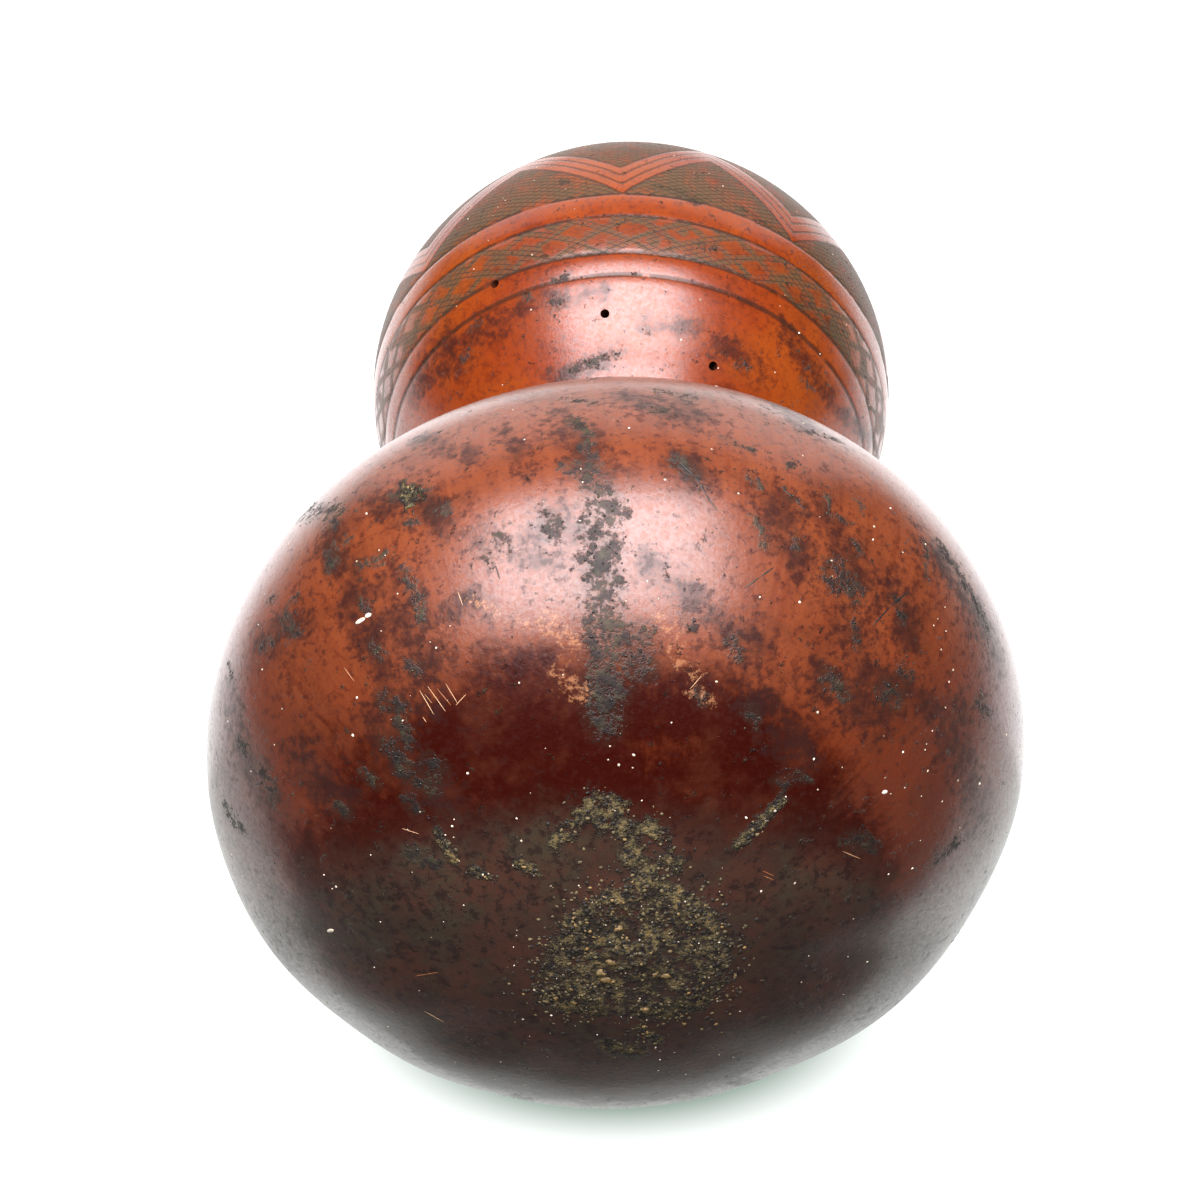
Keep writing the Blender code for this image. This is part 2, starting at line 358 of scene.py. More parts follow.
# %% From picture to skin
def sight_lines(pixels):
    """Unit directions from the camera through points of the 1200 by 1200 picture."""
    pixels = np.asarray(pixels, float)
    right = np.array([1.0, 0.0, 0.0])
    ahead = np.array([0.0, math.cos(CAMERA_DIP), -math.sin(CAMERA_DIP)])
    up = np.array([0.0, math.sin(CAMERA_DIP), math.cos(CAMERA_DIP)])
    focal = LENS / SENSOR * PICTURE
    across, down = pixels[..., :1] - PICTURE / 2, pixels[..., 1:] - PICTURE / 2
    return unit(ahead * focal + right * across - up * down)


def pin(pixels, upper=False):
    """Points of a lobe behind points of the picture.

    In the lobe's own stretched space, where the egg is a unit ball, the sight line is o + k d and
    k solves |o + k d| = 1. Of the two half eggs, the one whose crossing is on its own side counts.
    """
    centre, axis = (UPPER_CENTRE, UPPER_AXIS) if upper else (LOWER_CENTRE, LOWER_AXIS)
    radius = UPPER_RADIUS if upper else LOWER_RADIUS
    depths = (NECK_DEPTH, CROWN_DEPTH) if upper else (BLOSSOM_DEPTH, SHOULDER_DEPTH)
    lines = sight_lines(pixels)
    start = camera_place - centre
    found = np.full(lines.shape, np.nan)
    for depth, side in zip(depths, (-1, 1)):
        squeeze = np.eye(3) / radius + np.outer(axis, axis) * (1 / depth - 1 / radius)
        o, d = squeeze @ start, lines @ squeeze
        a, b, c = (d * d).sum(-1), d @ o, o @ o - 1
        k = (-b - np.sqrt(np.maximum(b * b - a * c, 0))) / a
        point = camera_place + lines * k[..., None]
        own = ((point - centre) @ axis * side >= 0)[..., None]
        found = np.where(own, point, found)
    return found


def turn_and_along(points, upper=False):
    """The gourd's own coordinates of points on a lobe."""
    centre, axis = (UPPER_CENTRE, UPPER_AXIS) if upper else (LOWER_CENTRE, LOWER_AXIS)
    side = unit(np.cross(axis, [0.0, 0.0, 1.0]))
    top = np.cross(side, axis)
    offset = points - centre
    return np.arctan2(offset @ side, offset @ top), offset @ axis + (SPACING if upper else 0)


print("middle of the scar ring:", pin([(635, 955)]).round(4))

# %% [markdown]
# ## Random unevenness
#
# Many steps need a smooth random value for each point of space: lumps of the rind, ragged edges of
# a stain. Blender has such noise, but for one point at a time. Here the same idea is written for
# whole arrays: random values sit on a cubic lattice and are eased into each other.


# %% Lattice noise
def lattice(cells, seed):
    """A repeatable random value from 0 to 1 for each whole-numbered cell."""
    x, y, z = (cells[..., i].astype(np.int64) for i in range(3))
    mixed = (x * 73856093) ^ (y * 19349663) ^ (z * 83492791) ^ (seed * 2654435761)
    mixed = (mixed ^ (mixed >> 13)) * 1274126177
    return ((mixed ^ (mixed >> 16)) & 0xFFFF) / 65535.0


def lumps(points, size, seed):
    """Smooth noise from -1 to 1 with lumps of about the given size, in metres."""
    scaled = np.asarray(points) / size + 100.0
    corner = np.floor(scaled)
    share = scaled - corner
    share = share ** 2 * (3 - 2 * share)
    total = 0
    for i in range(8):
        step = np.array([i & 1, (i >> 1) & 1, i >> 2])
        weight = np.prod(np.where(step, share, 1 - share), axis=-1)
        total = total + weight * lattice(corner + step, seed)
    return total * 2 - 1


def ease(values, low, high):
    """0 below low, 1 above high, smooth between."""
    share = np.clip((values - low) / (high - low), 0, 1)
    return share ** 2 * (3 - 2 * share)


# %% [markdown]
# ## Where the skin's rows go
#
# The skin is one grid: rows run round the gourd and columns run from the blossom end to the mouth.
# Even rows would do for the round lobes, but each engraved ring is a groove under 2 mm wide, so a
# few more rows are set close together there. `depth` is the distance along the skin from the
# blossom end: it is what the engraver measured with a thumb.

# %% Rows, columns and the engraver's rings
COLUMNS = 380
ROW_STEP = 2.15 * MM
INNER_ROWS = 20
RING_ROWS = (-0.9, -0.45, 0.0, 0.45, 0.9)
RINGS = {"first": -31.6, "band_low": -25.8, "band_high": -14.5, "zigzag_low": -6.3, "zigzag_high": 31.5}

fine = np.linspace(0, math.pi, 4001)
fine_along = (LIP - BLOSSOM_DEPTH) / 2 - (LIP + BLOSSOM_DEPTH) / 2 * np.cos(fine)
fine_radius = profile(fine_along)[0]
steps = np.hypot(np.diff(fine_along), np.diff(fine_radius))
fine_depth = np.concatenate([[0], np.cumsum(steps)])
SKIN_LENGTH = fine_depth[-1]


def depth_of(along):
    """Distance over the skin from the blossom end to a ring."""
    return np.interp(along, fine_along, fine_depth)


def along_at(depth):
    """The ring at a distance over the skin from the blossom end."""
    return np.interp(depth, fine_depth, fine_along)


ring_depth = {name: float(depth_of(SPACING + mm * MM)) for name, mm in RINGS.items()}
even = np.linspace(0, SKIN_LENGTH, int(SKIN_LENGTH / ROW_STEP) + 1)[1:]
extra = np.concatenate([place + np.array(RING_ROWS) * MM for place in ring_depth.values()])
near_ring = np.abs(even[:, None] - extra[None, :]).min(1) < 0.35 * MM
row_depth = np.sort(np.concatenate([even[~near_ring], extra]))
print("skin", round(SKIN_LENGTH / MM), "mm long,", len(row_depth), "rows,", COLUMNS, "columns")

# %% [markdown]
# ## The fine shape of the skin
#
# A gourd is never a perfect egg. It has slow swells, shallow flutes that run out from the blossom
# scar, a crusty ring there, a groove for each engraved ring, and pitted spots where the rind was
# bruised while it grew. Sculpting by hand would do as well, but each of these is a simple rule:
# heights add up, and the skin is lifted by the total.

# %% Relief of the skin
SCAR_RING_RADIUS, SCAR_RING_HEIGHT, SCAR_RING_WIDTH = 16 * MM, 0.9 * MM, 4 * MM
SCAR_BUTTON_RADIUS, SCAR_BUTTON_HEIGHT = 5 * MM, 1.0 * MM
FLUTES = (
    (107, 1.5, 13), (62, 0.7, 10), (39, 0.5, 9), (152, 1.1, 14), (-129, 1.3, 13),
    (-98, 0.8, 12), (-55, 0.5, 11), (-158, 1.0, 14), (5, 0.35, 12), (178, 0.8, 13),
)
GROOVE_DEPTH = 0.22 * MM
GROOVE_WIDTH = 0.75 * MM


def scar_relief(rim):
    """A bell-shaped ring round a bell-shaped button."""
    ring = np.exp(-((rim - SCAR_RING_RADIUS) / SCAR_RING_WIDTH) ** 2)
    button = np.exp(-((rim / SCAR_BUTTON_RADIUS) ** 2))
    return SCAR_RING_HEIGHT * ring + SCAR_BUTTON_HEIGHT * button


def flute_relief(along, turn):
    """Shallow troughs on lines of equal turn, deepest halfway up the blossom end."""
    reach = ease(-along, -5 * MM, 42 * MM) * ease(BLOSSOM_DEPTH + along, 0.8 * MM, 9 * MM)
    total = 0
    for degrees, deep, wide in FLUTES:
        gap = (turn - math.radians(degrees) + math.pi) % TAU - math.pi
        total = total - deep * MM * np.exp(-((gap / math.radians(wide)) ** 2))
    return total * reach


def groove_relief(depth, turn, points):
    """A narrow trough under each engraved ring, which wanders and fades as a hand-cut line does."""
    wander = lumps(points, 14 * MM, 71) * 0.35 * MM
    fade = ease(lumps(points, 9 * MM, 72), -0.75, -0.1)
    total = 0
    for place in ring_depth.values():
        total = total - GROOVE_DEPTH * np.exp(-(((depth - place + wander) / GROOVE_WIDTH) ** 2)) * fade
    return total


def skin_relief(along, depth, turn, points):
    """All heights of the skin over the plain egg shapes."""
    slow = lumps(points, 70 * MM, 11) * 0.55 * MM + lumps(points, 28 * MM, 12) * 0.16 * MM
    pole = ease(depth, 4 * MM, 30 * MM) * ease(SKIN_LENGTH - depth, 2 * MM, 14 * MM)
    radius = profile(along)[0]
    scar = np.where(along < 0, scar_relief(radius), 0) * (0.75 + 0.5 * lumps(points, 7 * MM, 13))
    return slow * pole + flute_relief(along, turn) + groove_relief(depth, turn, points) + scar


print("relief ready:", len(FLUTES), "flutes and", len(RINGS), "rings")

# %% [markdown]
# ## Stains, crust and patches of painted reflection
#
# The rind's story is written in its marks: black spots where sap dried, purple bruises, greenish
# patina, pale flecks worn through the wax. The peach patches are no mark of the rind but painted
# reflection, the soft lower haze of the large highlight. Each mark here is a stroke from one point
# of the picture to another, with a width in millimetres. A painter would load an image; here each
# mark becomes a soft field over the skin, and the material later gives it a ragged edge.

# %% Strokes seen in the picture: from, to, width in mm
PATINA = (
    (398, 494, 424, 494, 4.5), (405, 522, 416, 524, 3), (438, 510, 450, 510, 3), (305, 516, 340, 514, 6),
    (326, 528, 336, 526, 3), (332, 552, 333, 566, 4), (346, 540, 351, 541, 2.5), (362, 564, 378, 562, 3),
    (380, 556, 390, 556, 2.5), (404, 570, 412, 584, 3.2), (412, 584, 420, 604, 3.6),
    (420, 604, 421, 623, 2.6), (283, 622, 294, 634, 4.2), (262, 648, 272, 640, 3),
    (290, 604, 300, 596, 2.6), (268, 602, 278, 596, 2.6), (372, 648, 382, 654, 3),
    (408, 664, 416, 670, 3.2), (384, 700, 400, 708, 4.6), (398, 722, 408, 740, 4),
    (229, 664, 233, 676, 3), (384, 742, 398, 760, 3.6), (400, 768, 430, 790, 4.5),
    (426, 762, 438, 766, 4), (662, 392, 688, 398, 4.4), (648, 408, 662, 412, 3.6),
    (560, 400, 594, 404, 3.2), (572, 420, 590, 438, 3.6), (584, 448, 594, 451, 2.8),
    (564, 468, 572, 472, 3.4), (678, 460, 692, 474, 4), (694, 476, 708, 498, 1.4),
    (600, 488, 622, 512, 4.4), (606, 520, 616, 548, 4.6), (586, 556, 616, 580, 4.6),
    (596, 586, 612, 610, 5), (592, 624, 600, 660, 4.8), (604, 636, 644, 640, 6.5),
    (602, 660, 640, 668, 6.5), (600, 682, 616, 692, 4.5), (545, 514, 560, 526, 3.6),
    (499, 536, 509, 546, 3), (486, 556, 492, 564, 2.6), (545, 528, 552, 540, 3),
    (721, 439, 751, 451, 2.6), (786, 468, 796, 462, 1.8), (796, 462, 803, 470, 1.8),
    (752, 478, 758, 486, 3), (782, 489, 796, 500, 1.9), (796, 500, 806, 511, 1.9),
    (827, 494, 828, 512, 2), (828, 514, 851, 523, 2.2), (858, 500, 862, 508, 2.8),
    (762, 535, 764, 548, 2.6), (794, 535, 797, 549, 2.8), (752, 516, 758, 524, 2.4),
    (829, 562, 845, 566, 3.4), (846, 578, 858, 594, 5), (830, 578, 838, 590, 3.4),
    (857, 543, 861, 551, 2.8), (857, 622, 860, 648, 2.6), (925, 541, 927, 577, 2.2),
    (897, 598, 904, 618, 2.8), (886, 692, 898, 700, 4.6), (902, 668, 909, 676, 3),
    (732, 644, 738, 656, 3.6), (830, 678, 844, 694, 4.4), (696, 692, 704, 700, 3),
    (748, 712, 756, 722, 3), (688, 620, 694, 628, 2.8), (940, 545, 966, 585, 4.5),
    (966, 585, 990, 632, 4.5), (238, 742, 246, 750, 3.4), (262, 772, 270, 790, 5),
    (406, 802, 416, 812, 3.6), (412, 856, 434, 864, 5), (336, 808, 344, 812, 3.4),
    (363, 774, 374, 786, 3), (848, 840, 876, 846, 4), (732, 849, 756, 826, 2.6),
    (756, 826, 781, 802, 2.6), (776, 780, 786, 784, 2.6), (800, 776, 808, 780, 2.6),
    (360, 600, 368, 612, 2.4), (224, 806, 240, 830, 5), (936, 860, 960, 840, 4),
    (980, 700, 992, 716, 3.4), (800, 430, 840, 442, 3.4), (588, 470, 602, 520, 6),
    (598, 520, 602, 600, 7.5), (600, 600, 610, 640, 8.5), (606, 640, 604, 720, 8),
)
PATINA_UPPER = (
    (560, 182, 568, 184, 3), (656, 188, 668, 190, 3.2), (678, 192, 694, 200, 5),
    (740, 210, 750, 214, 3.4), (757, 221, 765, 225, 3.2), (550, 302, 564, 304, 3),
    (575, 370, 600, 358, 3.4), (600, 358, 620, 354, 3), (738, 364, 748, 368, 2.6),
    (556, 280, 568, 276, 2.6), (700, 246, 712, 250, 3), (640, 330, 650, 334, 2),
    (520, 300, 530, 296, 2.4), (470, 330, 480, 322, 2.6), (462, 360, 470, 350, 2),
    (800, 380, 812, 390, 2.4),
)
BRUISE = (
    (395, 500, 440, 520, 9), (330, 540, 360, 600, 8), (395, 575, 425, 660, 9), (350, 590, 392, 668, 9),
    (262, 640, 300, 620, 9), (372, 650, 420, 700, 10), (230, 700, 262, 790, 10), (560, 420, 600, 470, 8),
    (630, 400, 700, 420, 9), (560, 520, 600, 560, 9), (484, 540, 560, 560, 7), (680, 460, 700, 480, 7),
    (770, 500, 800, 560, 9), (825, 520, 860, 600, 11), (840, 620, 880, 700, 10), (820, 680, 880, 720, 10),
    (930, 550, 1000, 660, 9), (900, 590, 910, 640, 7), (640, 560, 700, 600, 6), (440, 620, 470, 600, 5),
    (700, 610, 760, 660, 7), (880, 680, 960, 720, 9), (300, 760, 340, 800, 9), (420, 440, 470, 460, 5),
    (380, 720, 440, 800, 9), (760, 700, 800, 760, 8), (500, 430, 530, 470, 5), (950, 740, 980, 820, 9),
)
BRUISE_UPPER = (
    (470, 340, 540, 300, 6), (560, 380, 620, 352, 7), (720, 350, 760, 372, 7), (560, 300, 600, 290, 5),
    (640, 320, 700, 330, 5), (430, 380, 470, 360, 5), (412, 400, 450, 335, 7), (800, 300, 850, 350, 5),
    (780, 330, 830, 400, 6), (840, 410, 870, 440, 5),
)
# Patches of painted reflection, the soft lower haze of the large highlight:
REFLECTION_HAZE = (
    (552, 620, 576, 642, 5), (560, 674, 580, 694, 5), (658, 620, 676, 632, 4), (676, 654, 696, 676, 4),
    (470, 600, 560, 640, 3), (690, 690, 712, 700, 3),
)
CRUST_PATCHES = (
    (632, 853, 652, 886, 4), (583, 812, 620, 820, 3), (604, 826, 638, 831, 3), (554, 843, 579, 822, 2.6),
    (650, 826, 664, 841, 2.6), (668, 858, 678, 868, 2.6), (610, 1048, 634, 1056, 4.4),
    (590, 800, 622, 804, 2.4), (520, 866, 534, 872, 2.2), (438, 836, 452, 862, 2),
    (470, 872, 486, 878, 2), (404, 490, 420, 494, 2.6), (406, 498, 412, 504, 2),
    (740, 846, 784, 800, 1.8),
)
SCAR_RIM = (
    (607, 900, 644, 886, 3.2), (644, 886, 685, 896, 3.2), (685, 896, 706, 915, 3),
    (706, 915, 724, 948, 2.6), (724, 948, 722, 985, 2.2), (722, 985, 700, 1003, 2.6),
    (700, 1003, 668, 1014, 3.6), (668, 1014, 620, 1008, 3.2), (600, 1012, 552, 1006, 3.6),
    (548, 1004, 546, 980, 3), (546, 980, 556, 955, 2.2), (556, 955, 575, 926, 2.2),
    (575, 926, 607, 900, 2.8), (596, 960, 608, 985, 3.6), (652, 970, 676, 978, 3.4),
    (612, 914, 622, 940, 2.6), (640, 934, 675, 942, 2.6), (600, 940, 640, 960, 2.8),
    (570, 985, 600, 998, 2.8), (640, 1030, 660, 1044, 2),
)
tables = (PATINA, PATINA_UPPER, BRUISE, BRUISE_UPPER, REFLECTION_HAZE, CRUST_PATCHES, SCAR_RIM)
print("strokes seen in the picture:", sum(len(table) for table in tables))

# %% [markdown]
# ## From strokes to fields
#
# A field tells each point of the skin how deep it lies in a mark: 1 at the stroke's middle, 0 one
# width away from it. The parts of the gourd that the picture doesn't show get strokes too, drawn at
# random with a fixed seed and kept only where the camera can't see them.

# %% Fields of the marks
SEED = 29
rng = np.random.default_rng(SEED)


def stroke_field(points, starts, ends, widths):
    """Greatest of 1 - (distance to the stroke / width) squared, or 0 outside every stroke."""
    field = np.zeros(points.shape[:-1])
    for start, end, width in zip(starts, ends, widths):
        line = end - start
        length = max(line @ line, 1e-12)
        reach = np.clip((points - start) @ line / length, 0, 1)
        gap = np.linalg.norm(points - start - reach[..., None] * line, axis=-1)
        field = np.maximum(field, 1 - (gap / width) ** 2)
    return field


def seen_strokes(rows, upper=False):
    """Starts, ends and widths in space of strokes given in the picture."""
    rows = np.array(rows, float)
    return pin(rows[:, 0:2], upper), pin(rows[:, 2:4], upper), rows[:, 4] * MM


def unseen_strokes(count, low, high, longest, widest):
    """Random strokes on the sides that the camera doesn't see, mostly in line with the gourd."""
    along = along_at(rng.uniform(low, high, count * 4))
    turn = rng.uniform(-math.pi, math.pi, count * 4)
    place = skin_point(along, turn)
    hidden = (skin_normal(along, turn) * (camera_place - place)).sum(-1) < 0
    along, turn = along[hidden][:count], turn[hidden][:count]
    run = rng.uniform(-longest, longest, len(along)) * MM
    swing = rng.uniform(-0.06, 0.06, len(along))
    ends = skin_point(np.clip(along + run, -BLOSSOM_DEPTH * 0.98, LIP), turn + swing)
    return skin_point(along, turn), ends, rng.uniform(0.35, 1, len(along)) * widest * MM


def joined(*groups):
    """Several sets of strokes as one set."""
    return tuple(np.concatenate(parts) for parts in zip(*groups))


LOBE_END = float(depth_of(NECK_FROM_LOWER + 20 * MM))
patina_strokes = joined(
    seen_strokes(PATINA), seen_strokes(PATINA_UPPER, True),
    unseen_strokes(120, 0.03, LOBE_END, 9, 4.6), unseen_strokes(45, LOBE_END, SKIN_LENGTH, 6, 3.6),
)
bruise_strokes = joined(
    seen_strokes(BRUISE), seen_strokes(BRUISE_UPPER, True),
    unseen_strokes(60, 0.03, LOBE_END, 22, 11), unseen_strokes(22, LOBE_END, SKIN_LENGTH, 12, 8),
)
reflection_haze_strokes = seen_strokes(REFLECTION_HAZE)
rim_strokes = seen_strokes(SCAR_RIM)
crust_strokes = joined(seen_strokes(CRUST_PATCHES), rim_strokes)
print("strokes after the hidden sides:", len(patina_strokes[0]), "patina,", len(bruise_strokes[0]), "bruises")

# %% [markdown]
# ## The zigzag
#
# Round the crown the engraver cut a zigzag of three stripes, with hatched triangles above and below
# it. In the plane of the skin it is an absolute value: the stripes' edge rises at the same rate on
# both sides of each low point. `zigzag` is the distance of a point above that edge, square to it,
# so the lines can be drawn in the material at any fineness.

# %% Zigzag measure
LOW_POINTS = np.radians([-50, -2, 36, 78, 122, 168, 215, 262])
STRIPES = 9.0 * MM


def zigzag_measure(depth, turn):
    """(height above the base ring - rise * distance round to the nearest low point) / length."""
    height = depth - ring_depth["zigzag_low"]
    gap = (turn[..., None] - LOW_POINTS + math.pi) % TAU - math.pi
    side = np.sort(np.mod(-gap, TAU), -1)[..., 0]
    other = np.sort(np.mod(gap, TAU), -1)[..., 0]
    span = side + other
    near = np.minimum(side, other)
    rise = 25.0 * MM / (span / 2)
    slope = rise / (UPPER_RADIUS * 0.97)
    return (height - rise * near) / np.sqrt(1 + slope ** 2)


print("zigzag has", len(LOW_POINTS), "low points")

# %% [markdown]
# ## The skin as one closed mesh
#
# Now the grid is filled in: the outer rows with their relief, the sawn lip, the mouth's wall, and
# the inner surface one wall in. The two ends at the blossom pole close onto one point each. Marks
# ride on the mesh as attributes, one number for each point, and a UV map keeps turn and depth.


# %% Build the skin
def inner_ring(along):
    """Place and radius of the inner surface, one wall in, square to the skin."""
    radius, slope = profile(along)
    length = np.sqrt(1 + slope ** 2)
    return along + WALL * slope / length, radius - WALL / length


def throat():
    """The ring above which the inner surface is as narrow as the mouth."""
    tries = np.linspace(SPACING, LIP, 4001)
    return tries[np.argmax(inner_ring(tries)[1] < MOUTH_RADIUS)]


turns = np.linspace(-math.pi, math.pi, COLUMNS, endpoint=False)
row_along = along_at(row_depth)
grid_along, grid_turn = np.meshgrid(row_along, turns, indexing="ij")
grid_depth = np.broadcast_to(row_depth[:, None], grid_along.shape)
plain = skin_point(grid_along, grid_turn)
relief = skin_relief(grid_along, grid_depth, grid_turn, plain)
outer = plain + skin_normal(grid_along, grid_turn) * relief[..., None]
throat_along = throat()
inner_depth = np.linspace(float(depth_of(throat_along)), 0, INNER_ROWS + 2)[1:-1]
inner_along, inner_radius = inner_ring(along_at(inner_depth))
mouth_along = [LIP, LIP, float(inner_ring(throat_along)[0])]
inside_along = np.concatenate([mouth_along, inner_along])
inside_radius = np.concatenate([[LIP_RADIUS, MOUTH_RADIUS, MOUTH_RADIUS], inner_radius])
inside = ring_points(
    np.broadcast_to(inside_along[:, None], (len(inside_along), COLUMNS)),
    np.broadcast_to(turns, (len(inside_along), COLUMNS)),
    np.broadcast_to(inside_radius[:, None], (len(inside_along), COLUMNS)),
)
blossom_pole = spine(-BLOSSOM_DEPTH)[0] - LOWER_AXIS * scar_relief(0.0)
inner_pole = spine(-BLOSSOM_DEPTH + WALL)[0]
outer[-1] = ring_points(np.full(COLUMNS, LIP), turns, np.full(COLUMNS, LIP_RADIUS))
grid = np.concatenate([outer, inside[1:]])
grid[..., 2] = np.maximum(grid[..., 2], 0)
rows = len(grid)
outer_rows = len(outer)


def grid_faces(rows, columns):
    """Quads between rows that close round, and triangles onto the two poles, facing out."""
    i, j = np.meshgrid(np.arange(rows - 1), np.arange(columns), indexing="ij")
    k = (j + 1) % columns
    quads = np.stack([i * columns + j, i * columns + k, (i + 1) * columns + k, (i + 1) * columns + j], -1)
    first, second = np.arange(columns), (np.arange(columns) + 1) % columns
    near_pole = np.stack([np.full(columns, rows * columns), second, first], -1)
    last = (rows - 1) * columns
    far_pole = np.stack([np.full(columns, rows * columns + 1), last + first, last + second], -1)
    return quads.reshape(-1, 4), near_pole, far_pole


quads, near_pole, far_pole = grid_faces(rows, COLUMNS)
skin_mesh = bpy.data.meshes.new("gourd_skin")
skin_places = np.concatenate([grid.reshape(-1, 3), [blossom_pole, inner_pole]])
skin_mesh.from_pydata(skin_places.tolist(), [], quads.tolist() + near_pole.tolist() + far_pole.tolist())
skin = bpy.data.objects.new("gourd_skin", skin_mesh)
bpy.context.scene.collection.objects.link(skin)
print("skin:", len(skin_mesh.vertices), "points,", 2 * len(quads) + 2 * COLUMNS, "triangles")

# %% [markdown]
# ## What each point of the skin knows
#
# The material needs a few numbers for each point. They are worked out once, on the grid, and
# written into the mesh: patina, bruise, the patches of painted reflection, crust, the zigzag measure,
# and how far in the point lies in the dark red blossom end, which is partly painted shade, and in the
# painted shade and painted dim reflection of the low front below it. The UV map holds the turn, from 0
# to 1 with its seam underneath, and the depth.

# %% Attributes and UV map
# The dark red blossom end is partly the rind's own darker colour and partly painted shade; its middle and
# reach:
DEEP_SHADE_MIDDLE, DEEP_SHADE_REACH = np.array([-9, 0, 0]) * MM, (81 * MM, 56 * MM)
# The low front's painted shade and painted dim reflection lie round this middle, with this reach.
UNDERSIDE_SHADE_MIDDLE, UNDERSIDE_SHADE_REACH = np.array([-8, 4, -50]) * MM, (100 * MM, 70 * MM)
SCAR_REACH, SCAR_SHARE = (23 * MM, 17 * MM), 0.7


def spread(outer_values, inside_value=0.0):
    """One value for every vertex: the outer grid's, then one value inside, then the two poles."""
    rest = np.full((rows - outer_rows) * COLUMNS, inside_value)
    return np.concatenate([outer_values.ravel(), rest, [outer_values[0].mean(), inside_value]])


def write_attribute(mesh, name, values):
    """Stores one number for each vertex."""
    mesh.attributes.new(name, "FLOAT", "POINT").data.foreach_set("value", values.astype(np.float32))


scar_gap = np.linalg.norm(plain - blossom_pole, axis=-1)
deep_shade_gap = np.linalg.norm(plain - blossom_pole - DEEP_SHADE_MIDDLE, axis=-1)
underside_shade_gap = np.linalg.norm(plain - blossom_pole - UNDERSIDE_SHADE_MIDDLE, axis=-1)
scar_field = ease(scar_gap, *SCAR_REACH) * SCAR_SHARE
fields = {
    "patina": stroke_field(plain, *patina_strokes),
    "bruise": stroke_field(plain, *bruise_strokes),
    "reflection_haze": stroke_field(plain, *reflection_haze_strokes),
    "crust": np.maximum(stroke_field(plain, *crust_strokes), scar_field),
    "zigzag": zigzag_measure(grid_depth, grid_turn) / MM,
    "blossom": ease(deep_shade_gap, *DEEP_SHADE_REACH),
    "underside_shade": ease(underside_shade_gap, *UNDERSIDE_SHADE_REACH),
}
for name, values in fields.items():
    write_attribute(skin_mesh, name, spread(values))
corner_rows = np.concatenate([
    np.repeat([[0, 0, 1, 1]], len(quads), 0).ravel() + np.repeat(np.repeat(np.arange(rows - 1), COLUMNS), 4),
    np.repeat([[-1, 0, 0]], COLUMNS, 0).ravel(),
    np.repeat([[rows, rows - 1, rows - 1]], COLUMNS, 0).ravel(),
])
quad_columns = np.tile(np.arange(COLUMNS), rows - 1)[:, None] + np.array([0, 1, 1, 0])
pole_columns = np.arange(COLUMNS)[:, None]
corner_turn = np.concatenate([
    quad_columns.ravel(),
    (pole_columns + np.array([0.5, 1, 0])).ravel(),
    (pole_columns + np.array([0.5, 0, 1])).ravel(),
]) / COLUMNS
known_depth = np.concatenate([[0], row_depth, SKIN_LENGTH + np.arange(1, rows - outer_rows + 2) * MM])
corner_depth = known_depth[corner_rows + 1] / SKIN_LENGTH
uv = skin_mesh.uv_layers.new(name="TurnAndDepth")
uv.data.foreach_set("uv", np.stack([corner_turn, corner_depth], 1).ravel().astype(np.float32))
print("attributes:", ", ".join(fields))

# %% [markdown]
# ## Shader maths as plain Python
#
# A material is a graph of nodes. Placing hundreds of Math nodes by name is slow to write and hard
# to read, so a small class wraps each node's output: a sum or a product of two wrapped outputs adds
# the node that works it out. Any other node comes from one method, `node`.


# %% Wrapped sockets
class Wire:
    """An output socket of a material's nodes that Python's operators can be used on."""

    def __init__(self, paint, socket):
        self.paint = paint
        self.socket = socket

    def __add__(self, other):
        return self.paint.sum("ADD", self, other)

    __radd__ = __add__

    def __sub__(self, other):
        return self.paint.sum("SUBTRACT", self, other)

    def __rsub__(self, other):
        return self.paint.sum("SUBTRACT", other, self)

    def __mul__(self, other):
        return self.paint.sum("MULTIPLY", self, other)

    __rmul__ = __mul__

    def __abs__(self):
        return self.paint.sum("ABSOLUTE", self)

    def __mod__(self, other):
        return self.paint.sum("FLOORED_MODULO", self, other)


